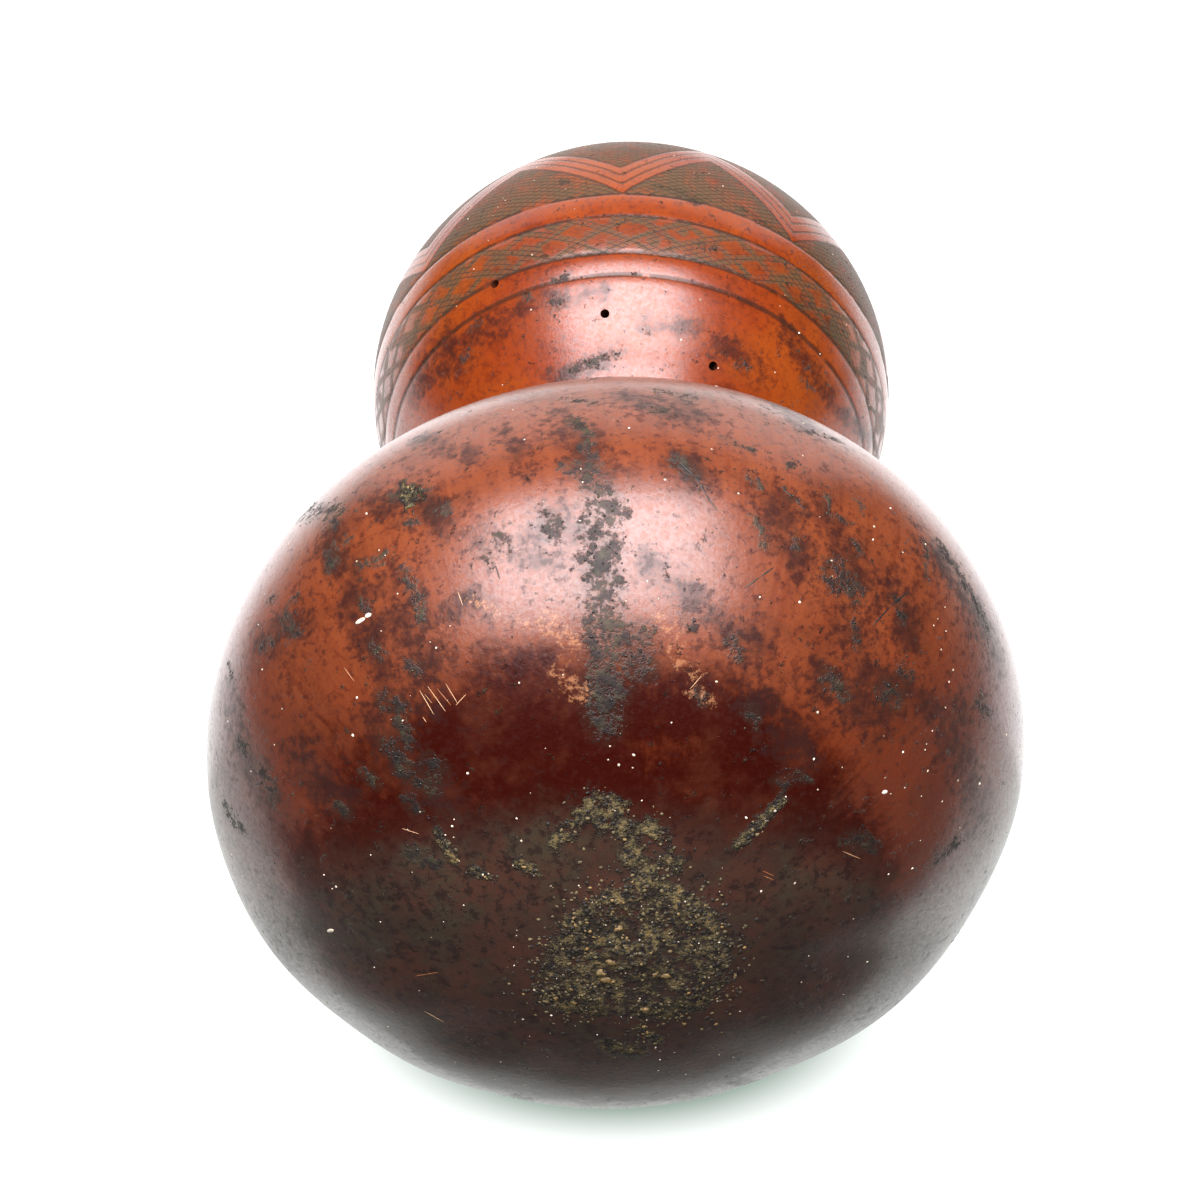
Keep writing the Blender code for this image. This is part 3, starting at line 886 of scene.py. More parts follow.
class Paint:
    """A material and the ways to add nodes to it."""

    def __init__(self, name):
        self.material = bpy.data.materials.new(name)
        self.material.use_nodes = True
        self.tree = self.material.node_tree
        self.shader = self.tree.nodes["Principled BSDF"]
        self.place = self.node("TexCoord", {}, {}, "Object")
        self.mm = self.node("VectorMath", {"operation": "SCALE"}, {0: self.place, "Scale": 1 / MM})

    def node(self, kind, settings, values, output=0):
        """Adds a node of a kind, sets its settings, then gives its sockets values or links."""
        made = self.tree.nodes.new("ShaderNode" + kind)
        for name, value in settings.items():
            setattr(made, name, value)
        for key, value in values.items():
            self.feed(made.inputs[key], value)
        return Wire(self, made.outputs[output])

    def feed(self, socket, value):
        """Links a wire to a socket, or sets the socket's own value."""
        if isinstance(value, Wire):
            self.tree.links.new(value.socket, socket)
        else:
            socket.default_value = value

    def sum(self, operation, *values):
        """A Math node of the given operation."""
        return self.node("Math", {"operation": operation}, dict(enumerate(values)))

    def greater(self, a, b):
        """The greater of two values."""
        return self.sum("MAXIMUM", a, b)

    def lesser(self, a, b):
        """The lesser of two values."""
        return self.sum("MINIMUM", a, b)

    def ease(self, value, low, high):
        """0 at low, 1 at high, smooth between; low may be the larger."""
        settings = {"interpolation_type": "SMOOTHSTEP"}
        return self.node("MapRange", settings, {0: value, 1: low, 2: high, 3: 0.0, 4: 1.0})

    def mark(self, name):
        """An attribute of the mesh."""
        return self.node("Attribute", {"attribute_name": name}, {}, "Fac")

    def noise(self, size, detail=2.0, roughness=0.5, vector=None, seed=0.0):
        """Blender's noise, from 0 to 1, with lumps of a size in mm."""
        where = vector or self.mm
        if seed:
            where = self.node("VectorMath", {"operation": "ADD"}, {0: where, 1: (seed, seed * 1.7, -seed)})
        values = {"Vector": where, "Scale": 1 / size, "Detail": detail, "Roughness": roughness}
        return self.node("TexNoise", {}, values, 0)

    def blend(self, share, first, second, way="MIX"):
        """Mixes two colours."""
        return self.node(
            "Mix", {"data_type": "RGBA", "blend_type": way}, {0: share, 6: first, 7: second}, 2
        )

    def vector(self, x, y, z=0.0):
        """Three values as one vector."""
        return self.node("CombineXYZ", {}, {0: x, 1: y, 2: z})

    def bump(self, height, millimetres, normal=None):
        """Bends the shading normal as a relief of this many millimetres would."""
        values = {"Height": height, "Distance": millimetres * MM, "Strength": 1.0}
        if normal:
            values["Normal"] = normal
        return self.node("Bump", {}, values)

    def finish(self, **values):
        """Feeds the shader's own sockets; an underscore stands for a space."""
        for name, value in values.items():
            self.feed(self.shader.inputs[name.replace("_", " ")], value)
        return self.material


def srgb(red, green, blue):
    """A colour picked on a screen, 0 to 255, as the linear light that Blender works in."""
    picked = np.array([red, green, blue]) / 255
    linear = np.where(picked <= 0.04045, picked / 12.92, ((picked + 0.055) / 1.055) ** 2.4)
    return (*(float(value) for value in linear), 1.0)


print("orange rind in linear light:", [round(value, 3) for value in srgb(168, 78, 34)])

# %% [markdown]
# ## The shade under the lobes
#
# The table has to burn out to white, so it glows, and a lamp's shadow is lost on it. The photograph
# still shows a soft greenish shade where the lobe nearly touches the table, and without it the gourd
# seems to float. A thin sheet over the table, clear but for an oval under each lobe, gives it back.

# %% Shade on the table
SHADE_GREEN = (0.16, 0.26, 0.20, 1.0)
SHADE_DARK, SHADE_CLEAR = 26.0, 45.0
SHADE_STRETCH = 1.6
shade = Paint("table_shade")


def clear_of(centre, size):
    """0 under a lobe and 1 clear of it: the distance over the table, squeezed across, then eased."""
    offset = shade.node("VectorMath", {"operation": "SUBTRACT"}, {0: shade.mm, 1: tuple(centre / MM)})
    squeeze = (1 / SHADE_STRETCH, 1.0, 0.0)
    oval = shade.node("VectorMath", {"operation": "MULTIPLY"}, {0: offset, 1: squeeze})
    gap = shade.node("VectorMath", {"operation": "LENGTH"}, {0: oval}, "Value")
    return shade.ease(gap, SHADE_DARK * size, SHADE_CLEAR * size)


clear = shade.lesser(clear_of(LOWER_CENTRE, 1.0), clear_of(UPPER_CENTRE, UPPER_RADIUS / LOWER_RADIUS))
shade.finish(Base_Color=(0.0, 0.0, 0.0, 1.0), Specular_IOR_Level=0.0, Alpha=1 - clear)
shade.finish(Emission_Color=SHADE_GREEN, Emission_Strength=1.0)
shade_sheet = card("shade_sheet", (-0.13, -0.18), (0.13, 0.17), SHADE_GREEN[:3])
shade_sheet.data.materials[0] = shade.material
shade_sheet.visible_camera = True
shade_sheet.visible_diffuse = False
shade_sheet.visible_glossy = False
print("nodes in the shade:", len(shade.tree.nodes))

# %% [markdown]
# ## The rind's colour and finish
#
# Waxed gourd rind is orange to red brown and slightly clear, with cloudy purple bruises, blackish
# crusts and a grey green film that collects in cuts. One flat colour would look like plastic. The
# real colours are laid over each other the way they came: the rind first, then bruises, patina, the
# engraver's cuts, and the scar's crust. Painted light is laid in among them: a lighter painted sheen
# on top of the lower lobe, partly painted shade in the deep red towards the blossom end, painted
# shade and a painted dim reflection on the low front, and peach patches of painted reflection under
# the large highlight. Each mark's field is broken up by noise, so that its edge is ragged and sharp.
# Noise sizes are in millimetres, and the levels of each `ease` were chosen by comparing the picture
# with the photograph.
#
# The wax is the shader's coat. Its weight drops where the skin is spotted, bruised, cut or crusted,
# so the marks stay dark inside the large reflections, as they do on the real gourd.

# %% Skin material, part 1: the rind
rind = Paint("waxed_gourd_rind")
UPPER_ORANGE = srgb(118, 46, 12)
UPPER_AMBER = srgb(132, 60, 16)
LOWER_ORANGE = srgb(100, 40, 15)
LOWER_RED = srgb(74, 21, 8)
# Painted sheen: the lighter orange on top of the lower lobe stands in for a dim reflection of the softbox.
TOP_SHEEN_ORANGE = srgb(108, 54, 29)
# Partly painted shade: the deep red-black of the blossom end is in part the rind's own colour and in part the
# shade and dark reflection on the front.
DEEP_RED_SHADE = srgb(42, 5, 1)
PURPLE = srgb(40, 22, 20)
SLATE = srgb(44, 36, 28)
SOOT = srgb(22, 21, 20)
PATINA_GREEN = srgb(50, 49, 34)
# Painted shade and painted dim reflection of the low front, with its olive and reddish patches:
UNDERSIDE_SHADE = srgb(53, 41, 33)
UNDERSIDE_SHADE_OLIVE = srgb(54, 50, 38)
UNDERSIDE_SHADE_RED = srgb(70, 43, 33)
BROWN = srgb(72, 34, 20)

uv_map = rind.node("UVMap", {"uv_map": "TurnAndDepth"}, {})
turn_share = rind.node("SeparateXYZ", {}, {0: uv_map}, 0)
skin_depth = rind.node("SeparateXYZ", {}, {0: uv_map}, 1) * (SKIN_LENGTH / MM)
height_mm = rind.node("SeparateXYZ", {}, {0: rind.mm}, 2)
on_upper = rind.ease(skin_depth, depth_of(0.088) / MM, depth_of(0.1) / MM)
clouds = rind.noise(34, 3, 0.55)
mottle = rind.noise(6.5, 5, 0.62)
speckle = rind.noise(2.0, 4, 0.6, seed=51.0)
grain = rind.noise(0.9, 3, 0.65)
streak_space = rind.vector(turn_share * 260, skin_depth * 0.03)
streaks = rind.node("TexNoise", {}, {"Vector": streak_space, "Scale": 1.0, "Detail": 4.0, "Roughness": 0.6})
blossom = rind.mark("blossom")

lower = rind.blend(rind.ease(clouds + mottle * 0.35, 0.5, 0.85), LOWER_ORANGE, LOWER_RED)
# Painted sheen: the lower lobe turns a lighter orange by height towards its top.
lower = rind.blend(rind.ease(height_mm + clouds * 60 + mottle * 30, 165, 215), lower, TOP_SHEEN_ORANGE)
lower = rind.blend(rind.ease(streaks, 0.45, 0.75) * 0.4, lower, LOWER_RED)
upper = rind.blend(rind.ease(clouds + mottle * 0.3, 0.45, 0.8), UPPER_AMBER, UPPER_ORANGE)
rind_colour = rind.blend(on_upper, lower, upper)
# Painted shade, in part: towards the blossom end the rind turns deep red-black, partly its own darker end and
# partly shade on the front that faces away from the softbox.
deep_shade_edge = blossom + clouds * 1.4 + mottle * 1.1 + speckle * 0.5 + streaks * 0.3 - 1.65
deep_shade_share = rind.ease(deep_shade_edge, 0.1, 0.8)
rind_colour = rind.blend(deep_shade_share, rind_colour, DEEP_RED_SHADE)
fine_red = rind.ease(grain * 0.6 + speckle * 0.5, 0.5, 0.72) * (0.45 - deep_shade_share * 0.3)
rind_colour = rind.blend(fine_red, rind_colour, LOWER_RED)
print("nodes so far:", len(rind.tree.nodes))

# %% Skin material, part 2: bruises, patina and painted shade
bruise = rind.mark("bruise")
patina = rind.mark("patina")
reflection_haze = rind.mark("reflection_haze")
crust = rind.mark("crust")
bruise_mask = rind.ease(bruise * 0.36 + mottle * 0.7 + speckle * 0.35 + grain * 0.15, 0.78, 1.04)
fine_spots = rind.ease(speckle + grain * 0.3 + clouds * 0.25 + bruise * 0.1, 0.80, 1.0) * (1 - on_upper * 0.7)
patina_noise = rind.noise(2.2, 4, 0.72, seed=7.0)
patina_mask = rind.ease(patina * 0.4 + patina_noise * 0.85 + grain * 0.35, 0.90, 1.04)
halo_mask = rind.ease(patina * 0.5 + mottle * 0.5 + grain * 0.3, 0.55, 0.95)
# Painted shade and a painted dim reflection cover the low front, with a ragged edge.
underside_shade_mask = rind.ease(rind.mark("underside_shade") + clouds * 0.5 + mottle * 0.5 + speckle * 0.2 - 0.6, 0.1, 0.95)
green_share = rind.noise(5, 4, 0.7, seed=3.0)
film = rind.blend(rind.ease(green_share, 0.46, 0.64), SOOT, PATINA_GREEN)
film = rind.blend(rind.ease(grain, 0.5, 0.68) * 0.7, film, SLATE)
patches = rind.ease(rind.noise(12, 5, 0.65, seed=61.0) + bruise * 0.06, 0.48, 0.72) * (1 - on_upper * 0.6)
skin_colour = rind.blend(patches * 0.6, rind_colour, BROWN)
skin_colour = rind.blend(fine_spots * 0.5, skin_colour, PURPLE)
skin_colour = rind.blend(bruise_mask * 0.7, skin_colour, PURPLE)
skin_colour = rind.blend(halo_mask * 0.4, skin_colour, SLATE)
# Painted shade: the lower flanks darken by height towards the table.
low_flank_shade = rind.ease(height_mm + mottle * 50 + speckle * 20, 200, 140) * (1 - on_upper)
skin_colour = rind.blend(low_flank_shade * (0.42 - deep_shade_share * 0.37), skin_colour, UNDERSIDE_SHADE)
underside_shade_colour = rind.blend(rind.ease(clouds * 0.6 + mottle * 0.8 + speckle * 0.5, 0.9, 1.15), UNDERSIDE_SHADE, UNDERSIDE_SHADE_OLIVE)
red_patches = rind.ease(rind.noise(14, 6, 0.7, seed=71.0), 0.44, 0.6)
underside_shade_colour = rind.blend(red_patches * 0.65, underside_shade_colour, UNDERSIDE_SHADE_RED)
underside_spots = rind.ease(rind.noise(2.4, 4, 0.72, seed=73.0) + clouds * 0.15, 0.58, 0.7)
underside_shade_colour = rind.blend(underside_spots * 0.75, underside_shade_colour, SOOT)
skin_colour = rind.blend(underside_shade_mask * 0.8, skin_colour, underside_shade_colour)
skin_colour = rind.blend(patina_mask * 0.88, skin_colour, film)
print("nodes so far:", len(rind.tree.nodes))

# %% Skin material, part 3: the engraver's cuts
CUT = srgb(72, 58, 34)
CUT_DARK = srgb(32, 27, 21)
around = turn_share * (TAU * UPPER_RADIUS / MM)
wander = (rind.noise(11, 2, 0.5, seed=11.0) - 0.5) * 1.6
breaks = rind.noise(5, 3, 0.6, seed=13.0)
scratchy = rind.noise(0.8, 3, 0.7, seed=17.0)


def ring_line(name, wide):
    """A cut line at one of the engraver's rings, ragged and here and there faint."""
    gap = abs(skin_depth - ring_depth[name] / MM + wander * 0.5)
    return rind.ease(gap + scratchy * 0.5 - 0.25, wide, wide * 0.35) * rind.ease(breaks, 0.3, 0.48)


def hatching(angle, step, thick):
    """Parallel scratches at an angle to the rings: a saw wave with the dark part `thick` wide."""
    across = around * math.sin(angle) + skin_depth * math.cos(angle)
    saw = abs((across + wander * 0.4) * (1 / step) % 1 - 0.5)
    return rind.ease(saw + scratchy * 0.25, thick + 0.16, thick)


def between(low, high, soft=0.5):
    """1 between two rings."""
    start, end = ring_depth[low] / MM, ring_depth[high] / MM
    level = skin_depth + wander * 0.5
    return rind.ease(level, start - soft, start + soft) * rind.ease(level, end + soft, end - soft)


band_level = (skin_depth - ring_depth["band_low"] / MM) * (1 / (RINGS["band_high"] - RINGS["band_low"]))
CELL = TAU * UPPER_RADIUS / MM / 32
cross_up = abs((around * (1 / CELL) + band_level * 1.5 + wander * 0.14) % 1 - 0.5)
cross_down = abs((around * (1 / CELL) - band_level * 1.5 + wander * 0.14) % 1 - 0.5)
island = rind.ease(rind.lesser(cross_up, cross_down) + breaks * 0.4 + scratchy * 0.1, 0.32, 0.48)
island = island * rind.ease(rind.noise(8, 1, 0.5, seed=23.0), 0.38, 0.5)
hatch_up = hatching(math.radians(24), 1.5, 0.14)
hatch_down = hatching(math.radians(-24), 1.5, 0.14)
hatch = rind.greater(hatch_up, hatch_down)
band = between("band_low", "band_high") * (1 - island * 0.8)

zigzag = rind.mark("zigzag") + wander * 0.35
zone = between("zigzag_low", "zigzag_high")
stripe_mm = STRIPES / MM
upright = rind.ease(zigzag, 0.25, -0.25)
inverted = rind.ease(zigzag, stripe_mm - 0.25, stripe_mm + 0.25)
stripe_gap = rind.lesser(abs(zigzag - stripe_mm / 3), abs(zigzag - stripe_mm * 2 / 3))
stripe_gap = rind.lesser(stripe_gap, rind.lesser(abs(zigzag), abs(zigzag - stripe_mm)))
stripe_lines = rind.ease(stripe_gap + scratchy * 0.3 - 0.15, 0.55, 0.25) * zone
triangles = rind.greater(upright, inverted) * zone

rings_cut = rind.greater(ring_line("first", 1.0), ring_line("band_low", 0.9))
rings_cut = rind.greater(rings_cut, rind.greater(ring_line("band_high", 0.8), ring_line("zigzag_low", 0.7)))
rings_cut = rind.greater(rings_cut, ring_line("zigzag_high", 0.9))
lines_cut = rind.greater(rings_cut, stripe_lines * 0.85)
fill_cut = rind.greater(band, triangles)
skin_colour = rind.blend(fill_cut * rind.ease(breaks + scratchy * 0.3, 0.35, 0.75) * 0.85, skin_colour, CUT)
hatch_mask = hatch * fill_cut
skin_colour = rind.blend(hatch_mask * 0.75, skin_colour, CUT_DARK)
skin_colour = rind.blend(lines_cut * 0.7, skin_colour, CUT_DARK)
print("nodes so far:", len(rind.tree.nodes))

# %% Skin material, part 4: painted reflection haze, crust and finish
PEACH_REFLECTION = srgb(160, 112, 76)
OLIVE = srgb(98, 88, 58)
GOLD = srgb(128, 104, 60)
CRUST_DARK = srgb(30, 28, 23)
# Painted reflection: peach patches where the large reflection fades at its lower edge.
reflection_haze_mask = rind.ease(reflection_haze * 0.34 + rind.noise(1.3, 4, 0.75, seed=31.0), 0.78, 0.92)
skin_colour = rind.blend(reflection_haze_mask * 0.55, skin_colour, PEACH_REFLECTION)
crust_noise = rind.noise(2.8, 5, 0.76, seed=37.0)
crust_mask = rind.ease(crust * 0.30 + crust_noise * 1.0 + grain * 0.2, 0.72, 0.85)
crust_shade = rind.noise(2.0, 4, 0.78, seed=41.0)
crust_colour = rind.blend(rind.ease(crust_shade, 0.42, 0.58), CRUST_DARK, OLIVE)
crust_colour = rind.blend(rind.ease(crust_shade + crust * 0.1, 0.66, 0.76) * 0.8, crust_colour, GOLD)
skin_colour = rind.blend(crust_mask * 0.92, skin_colour, crust_colour)

polish = 0.20 - on_upper * 0.03 + grain * 0.12 + clouds * 0.08
rough_value = polish + underside_shade_mask * 0.1 + patina_mask * 0.25 + fill_cut * 0.2 + crust_mask * 0.5
wax = 0.4 + rind.ease(grain + speckle * 0.6, 0.62, 1.0) * 0.6
wax = wax * (1 - fine_spots * 0.8) * (1 - bruise_mask * 0.55) * (1 - patina_mask * 0.85)
wax = wax * (1 - deep_shade_share * 0.65) * (1 - zone * 0.6) * (1 - fill_cut * 0.7)
wax = wax * (1 - lines_cut * 0.8) * (1 - crust_mask)
pits = rind.noise(1.5, 3, 0.6, seed=47.0)
relief_bump = rind.bump(pits * 0.6 + grain * 0.4, 0.12)
cut_height = patina_mask * patina_noise - hatch_mask * 0.5 - stripe_lines * 0.6
relief_bump = rind.bump(cut_height, 0.16, relief_bump)
relief_bump = rind.bump(crust_mask * (crust_noise + grain), 0.8, relief_bump)
rind.finish(Base_Color=skin_colour, Roughness=rough_value, Normal=relief_bump, IOR=1.34)
rind.finish(Coat_Weight=wax, Coat_Roughness=0.27, Coat_IOR=1.5)
print("nodes in the rind:", len(rind.tree.nodes))

# %% [markdown]
# ## Flesh: the sawn lip and the inside
#
# Where the gourd was sawn and scraped, the dry flesh shows: pale tan, fibrous and dull. The same
# mesh carries it in a second material slot, on every face past the outer skin.

# %% Flesh material and slots
flesh = Paint("dry_gourd_flesh")
fibres = flesh.noise(3.0, 6, 0.7)
flesh_stain = flesh.noise(18, 3, 0.5, seed=5.0)
FLESH_BROWN, FLESH_TAN, FLESH_STAIN = srgb(120, 88, 56), srgb(176, 142, 98), srgb(84, 58, 38)
flesh_colour = flesh.blend(flesh.ease(fibres, 0.35, 0.7), FLESH_BROWN, FLESH_TAN)
flesh_colour = flesh.blend(flesh.ease(flesh_stain, 0.5, 0.75) * 0.6, flesh_colour, FLESH_STAIN)
flesh.finish(Base_Color=flesh_colour, Roughness=0.85, Normal=flesh.bump(fibres, 0.5))
skin_mesh.materials.append(rind.material)
skin_mesh.materials.append(flesh.material)
slots = np.zeros(len(skin_mesh.polygons), np.int32)
slots[(outer_rows - 1) * COLUMNS:len(quads)] = 1
slots[-COLUMNS:] = 1
skin_mesh.polygons.foreach_set("material_index", slots)
skin_mesh.shade_smooth()
skin_mesh.set_sharp_from_angle(angle=math.radians(55))
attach(skin, "root")
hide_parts(SHELL)
print("faces of flesh:", int(slots.sum()))

# %% [markdown]
# ## The awl holes
#
# Three small holes were pricked through the upper lobe's wall. They could be painted black dots,
# but a real hole looks right from every side, so three thin rods are cut out of the skin with one
# Boolean each.

# %% Cut the awl holes
HOLE_RADIUS = 1.2 * MM
HOLE_LENGTH = 24 * MM
HOLES = ((495, 284), (605, 314), (713, 366))


def rod_mesh(name, place, direction, radius, length, sides=20):
    """A closed rod: two rings of a circle, and a fan at each end."""
    helper = [0.0, 0.0, 1.0] if abs(direction[2]) < 0.9 else [1.0, 0.0, 0.0]
    across = unit(np.cross(direction, helper))
    up = np.cross(direction, across)
    angle = np.linspace(0, TAU, sides, endpoint=False)[:, None]
    circle = (across * np.cos(angle) + up * np.sin(angle)) * radius
    ends = [place - direction * length / 2, place + direction * length / 2]
    points = np.concatenate([circle + ends[0], circle + ends[1]])
    first, second = np.arange(sides), (np.arange(sides) + 1) % sides
    walls = np.stack([first, second, second + sides, first + sides], 1).tolist()
    mesh = bpy.data.meshes.new(name)
    mesh.from_pydata(points.tolist(), [], walls + [list(first[::-1]), list(first + sides)])
    return mesh


hole_places = pin(HOLES, True)
hole_turn, hole_along = turn_and_along(hole_places, True)
hole_out = skin_normal(hole_along, hole_turn)
for number, (place, out) in enumerate(zip(hole_places, hole_out)):
    rod_name = f"awl_{number}"
    rod = bpy.data.objects.new(rod_name, rod_mesh(rod_name, place, out, HOLE_RADIUS, HOLE_LENGTH))
    bpy.context.scene.collection.objects.link(rod)
    cut = skin.modifiers.new(rod_name, "BOOLEAN")
    cut.object = rod
    cut.operation = "DIFFERENCE"
    cut.solver = "EXACT"
    with bpy.context.temp_override(object=skin):
        bpy.ops.object.modifier_apply(modifier=cut.name)
    bpy.data.objects.remove(rod)
print("skin after the awl:", len(skin.data.vertices), "points")

# %% [markdown]
# ## Grains, flecks and scratches as real shapes
#
# Crust is made of grains that stand off the skin and throw tiny shadows, so they are shapes and not
# paint. A pebble is a ball of a few rings, pressed flat and roughened; hundreds of them share one
# mesh. Particles would do as well, but an array of places keeps every grain where it is wanted.


# %% Pebbles
def on_skin(along, turn, lift=0.0):
    """A place on the finished skin with its relief, and the outward direction there."""
    plain_place = skin_point(along, turn)
    out = skin_normal(along, turn)
    height = skin_relief(along, depth_of(along), turn, plain_place) + lift
    return plain_place + out * np.asarray(height)[..., None], out


def finish_piece(name, points, faces, shades, material):
    """A mesh object from arrays, which rides on the gourd's body."""
    mesh = bpy.data.meshes.new(name)
    mesh.from_pydata(points.reshape(-1, 3).tolist(), [], [face for group in faces for face in group.tolist()])
    write_attribute(mesh, "shade", shades)
    mesh.materials.append(material)
    mesh.shade_smooth()
    piece = bpy.data.objects.new(name, mesh)
    bpy.context.scene.collection.objects.link(piece)
    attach(piece, "root")
    print(name, "has", len(mesh.polygons), "faces")


def copies(parts, step, count):
    """The same faces for each of many copies whose points follow each other."""
    shifts = np.arange(count)[:, None, None] * step
    return [(part[None] + shifts).reshape(-1, part.shape[1]) for part in parts]


def pebbles(name, along, turn, sizes, material, uneven=0.25, rings=3, columns=7):
    """Balls pressed to half sizes a, b, c: (a cos u cos v, b cos u sin v, c sin u) times 1 +- uneven."""
    clear = on_skin(along, turn)[0][:, 2] > 2 * MM
    along, turn, sizes = along[clear], turn[clear], sizes[clear]
    count = len(along)
    u = (np.linspace(-0.5, 0.5, rings + 2)[1:-1] * math.pi)[:, None]
    v = np.linspace(0, TAU, columns, endpoint=False)[None, :]
    ball = np.stack([np.cos(u) * np.cos(v), np.cos(u) * np.sin(v), np.sin(u) + 0 * v], -1).reshape(-1, 3)
    ball = np.concatenate([ball, [[0, 0, -1], [0, 0, 1]]])
    local = ball * rng.uniform(1 - uneven, 1 + uneven, (count, len(ball), 1)) * sizes[:, None, :]
    swing = rng.uniform(0, TAU, (count, 1))
    x = local[..., 0] * np.cos(swing) - local[..., 1] * np.sin(swing)
    y = local[..., 0] * np.sin(swing) + local[..., 1] * np.cos(swing)
    place, out = on_skin(along, turn)
    across = unit(np.cross([0.31, 0.17, 0.93], out))
    ahead = np.cross(out, across)
    points = place[:, None] + x[..., None] * across[:, None] + y[..., None] * ahead[:, None]
    points = points + local[..., 2:] * out[:, None]
    shades = np.repeat(rng.uniform(0, 1, count), len(ball))
    finish_piece(name, points, copies(grid_faces(rings, columns), len(ball), count), shades, material)


def along_strokes(strokes, per_mm, spread):
    """Random places along strokes, `per_mm` for each mm of length, spread to the sides."""
    starts, ends, widths = strokes
    lengths = np.linalg.norm(ends - starts, axis=1) / MM + widths / MM
    picks = np.repeat(np.arange(len(starts)), np.round(lengths * per_mm).astype(int))
    share = rng.uniform(0, 1, (len(picks), 1))
    places = starts[picks] + (ends[picks] - starts[picks]) * share
    return places + rng.normal(0, 1, places.shape) * widths[picks, None] * spread


def lobe_places(points):
    """Along and turn of points near either lobe, the nearer lobe counting."""
    upper = np.linalg.norm(points - UPPER_CENTRE, axis=1) < np.linalg.norm(points - LOWER_CENTRE, axis=1)
    low_turn, low_along = turn_and_along(points)
    high_turn, high_along = turn_and_along(points, True)
    along = np.clip(np.where(upper, high_along, low_along), -BLOSSOM_DEPTH + 0.01 * MM, LIP - MM)
    return along, np.where(upper, high_turn, low_turn)


def even_sizes(count, low, high, flat):
    """Random half widths in mm, with the height a share of the width."""
    wide = rng.uniform(low, high, (count, 1)) * MM
    narrow = rng.uniform(0.6, 1, (count, 1))
    return wide * np.concatenate([np.ones((count, 1)), narrow, np.full((count, 1), flat)], 1)


RESIN = srgb(126, 98, 54)
FLECK_GREY, FLECK_WHITE = srgb(150, 138, 112), srgb(226, 218, 200)
SCRATCH_BROWN, SCRATCH_PALE = srgb(150, 92, 52), srgb(206, 168, 126)
crust_paint = Paint("scar_crust")
crust_blend = crust_paint.blend(crust_paint.ease(crust_paint.mark("shade"), 0.3, 0.95), CRUST_DARK, OLIVE)
crust_blend = crust_paint.blend(crust_paint.ease(crust_paint.mark("shade"), 0.9, 1.0), crust_blend, GOLD)
crust_paint.finish(Base_Color=crust_blend, Roughness=0.7)
lump_paint = Paint("gold_resin")
lump_grain = lump_paint.noise(0.6, 4, 0.7)
lump_colour = lump_paint.blend(lump_paint.ease(lump_grain, 0.4, 0.62), OLIVE, RESIN)
lump_paint.finish(Base_Color=lump_colour, Roughness=0.45, Normal=lump_paint.bump(lump_grain, 0.3))
soot_paint = Paint("dried_sap")
soot_shade = soot_paint.ease(soot_paint.mark("shade"), 0.5, 1.0)
soot_paint.finish(Base_Color=soot_paint.blend(soot_shade, SOOT, PATINA_GREEN), Roughness=0.32)
fleck_paint = Paint("pale_fleck")
fleck_colour = fleck_paint.blend(fleck_paint.mark("shade"), FLECK_GREY, FLECK_WHITE)
fleck_paint.finish(Base_Color=fleck_colour, Roughness=0.5)
scratch_paint = Paint("bare_scratch")
scratch_colour = scratch_paint.blend(scratch_paint.mark("shade"), SCRATCH_BROWN, SCRATCH_PALE)
scratch_paint.finish(Base_Color=scratch_colour, Roughness=0.6)

RIM_GRAINS_PER_MM, CRUST_GRAINS_PER_MM, SOOT_GRAINS_PER_MM = 4.5, 1.5, 0.45
rim_places = along_strokes(rim_strokes, RIM_GRAINS_PER_MM, 0.2)
crust_places = np.concatenate([rim_places, along_strokes(crust_strokes, CRUST_GRAINS_PER_MM, 0.35)])
crust_along, crust_turn = lobe_places(crust_places)
crust_sizes = even_sizes(len(crust_along), 0.14, 0.55, 0.45)
pebbles("crust_grains", crust_along, crust_turn, crust_sizes, crust_paint.material, 0.45)
LUMPS = (
    (601, 973), (606, 980), (666, 975), (655, 974), (618, 929), (574, 1003), (645, 1008), (611, 962),
    (556, 1000),
)
lump_along, lump_turn = lobe_places(pin(LUMPS))
lump_sizes = even_sizes(len(LUMPS), 0.6, 1.15, 0.4)
pebbles("crust_lumps", lump_along, lump_turn, lump_sizes, lump_paint.material, 0.5, 5, 11)
soot_along, soot_turn = lobe_places(along_strokes(patina_strokes, SOOT_GRAINS_PER_MM, 0.3))
soot_sizes = even_sizes(len(soot_along), 0.15, 0.4, 0.4)
pebbles("soot_grains", soot_along, soot_turn, soot_sizes, soot_paint.material, 0.3, 2, 6)

# %% [markdown]
# ## Pale flecks and dark cracks
#
# Bright dots and hair-thin scratches are what the eye finds first on the dark polish. The dots that
# the photograph shows are pinned one by one, and the rest of the gourd gets some at random. A
# scratch is a thread laid on the skin: a flat ellipse carried along a line from end to end.

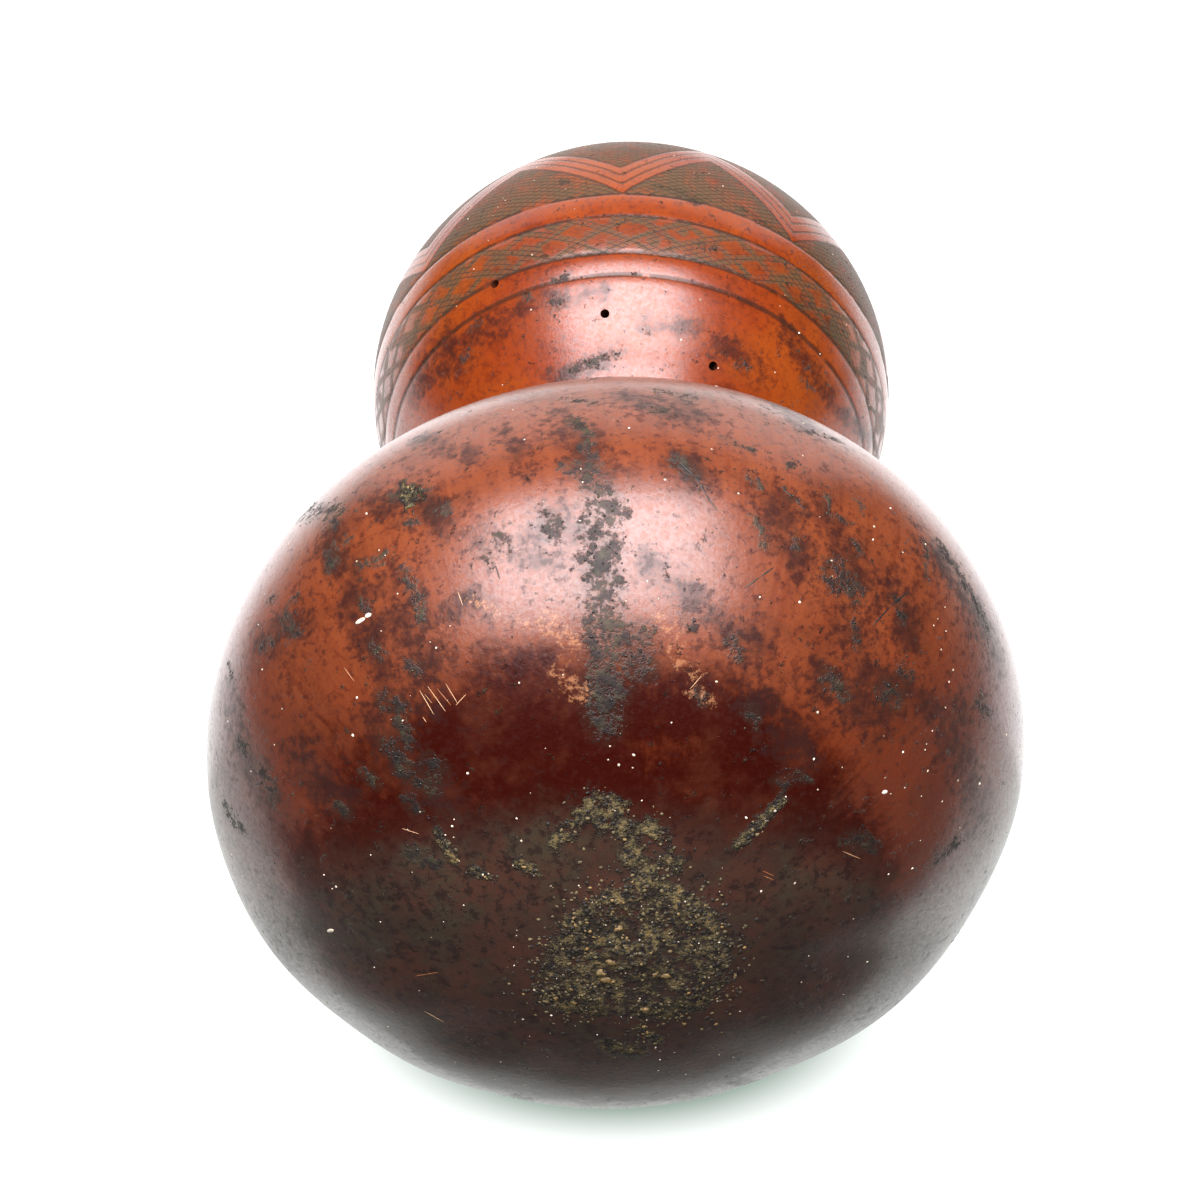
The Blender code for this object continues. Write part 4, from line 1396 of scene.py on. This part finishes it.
# %% Flecks
FLECKS = (
    (368, 515), (380, 551), (386, 556), (358, 562), (398, 594), (450, 626), (430, 642), (436, 648),
    (281, 709), (356, 698), (626, 656), (580, 521), (665, 480), (629, 429), (519, 683), (833, 576),
    (800, 602), (760, 597), (926, 544), (717, 682), (891, 508), (875, 526), (874, 539), (951, 682),
    (819, 713), (955, 670), (948, 708), (947, 631), (351, 736), (467, 774), (458, 863), (482, 877),
    (463, 907), (379, 924), (372, 971), (444, 837), (451, 828), (453, 821), (335, 888), (323, 876),
    (370, 856), (610, 747), (634, 756), (619, 766), (633, 769), (642, 802), (615, 812), (521, 842),
    (668, 870), (685, 901), (513, 949), (534, 992), (747, 819), (776, 812), (787, 798), (815, 760),
    (843, 768), (929, 745), (905, 753), (930, 772), (959, 781), (980, 784), (907, 789), (943, 802),
    (921, 841), (913, 869), (855, 921), (872, 968), (796, 885), (762, 893), (1007, 735), (529, 1040),
    (551, 1018), (327, 934), (622, 986), (887, 794), (887, 779), (904, 552),
)
UPPER_FLECKS = ((566, 190), (681, 340), (799, 333), (820, 354), (575, 210), (700, 300))
fleck_places = np.concatenate([pin(FLECKS), pin(UPPER_FLECKS, True)])
fleck_along, fleck_turn = lobe_places(fleck_places)
fleck_sizes = even_sizes(len(fleck_along), 0.17, 0.38, 0.35)
pebbles("pale_flecks", fleck_along, fleck_turn, fleck_sizes, fleck_paint.material, 0.15)
DUST_COUNT = 520
dust_along = along_at(rng.uniform(4 * MM, SKIN_LENGTH - 5 * MM, DUST_COUNT))
dust_turn = rng.uniform(-math.pi, math.pi, DUST_COUNT)
dust_sizes = even_sizes(DUST_COUNT, 0.12, 0.3, 0.4)
pebbles("pale_dust", dust_along, dust_turn, dust_sizes, fleck_paint.material, 0.2, 2, 6)


# %% Scratches and cracks
SCRATCHES = (
    (343, 667, 354, 682), (427, 686, 446, 713), (419, 690, 434, 716), (436, 688, 451, 706),
    (445, 683, 458, 705), (424, 694, 432, 704), (458, 592, 463, 606), (422, 717, 426, 723),
    (431, 363, 440, 354), (422, 1015, 443, 1029), (844, 853, 862, 860), (763, 872, 776, 878),
    (764, 877, 775, 882), (455, 706, 466, 694), (360, 618, 368, 617), (400, 830, 418, 836),
    (412, 980, 438, 976), (690, 690, 702, 676),
)
CHIPS = ((355, 624, 366, 618), (365, 617, 372, 614), (324, 935, 331, 933), (884, 794, 890, 793))
CRACKS = (
    (745, 588, 760, 577), (760, 577, 774, 567), (874, 626, 892, 606), (892, 606, 911, 590),
    (782, 489, 794, 499), (794, 499, 806, 511), (694, 476, 708, 498), (678, 462, 694, 476),
    (706, 496, 718, 512), (496, 566, 500, 580),
)


def threads(name, rows, half_width, material, steps=12, columns=6):
    """Flat ellipses along lines: s(k) + (h cos v) out + (w sin v) sideways, thin at both ends."""
    rows = np.array(rows, float)
    share = np.linspace(0, 1, steps + 2)[:, None, None]
    pixels = rows[None, :, 0:2] * (1 - share) + rows[None, :, 2:4] * share
    along, turn = lobe_places(pin(pixels).reshape(-1, 3))
    place, out = (part.reshape(steps + 2, -1, 3).swapaxes(0, 1) for part in on_skin(along, turn))
    ahead = unit(np.gradient(place, axis=1))
    side = unit(np.cross(ahead, out))
    v = np.linspace(0, TAU, columns, endpoint=False)[None, None, :, None]
    taper = np.sin(np.linspace(0, math.pi, steps + 2))[None, 1:-1, None, None] ** 0.5
    wide, high = half_width * MM, half_width * MM * 0.45
    rings = out[:, 1:-1, None] * np.cos(v) * high * taper + side[:, 1:-1, None] * np.sin(v) * wide * taper
    rings = (rings + place[:, 1:-1, None]).reshape(len(rows), -1, 3)
    points = np.concatenate([rings, place[:, :1], place[:, -1:]], 1)
    shades = np.repeat(rng.uniform(0, 1, len(rows)), points.shape[1])
    faces = copies(grid_faces(steps, columns), points.shape[1], len(rows))
    finish_piece(name, points, faces, shades, material)


SCRATCH_MM, CHIP_MM, CRACK_MM = 0.08, 0.5, 0.18
threads("pale_scratches", SCRATCHES, SCRATCH_MM, scratch_paint.material)
threads("pale_chips", CHIPS, CHIP_MM, fleck_paint.material, 5, 8)
threads("dark_cracks", CRACKS, CRACK_MM, soot_paint.material)
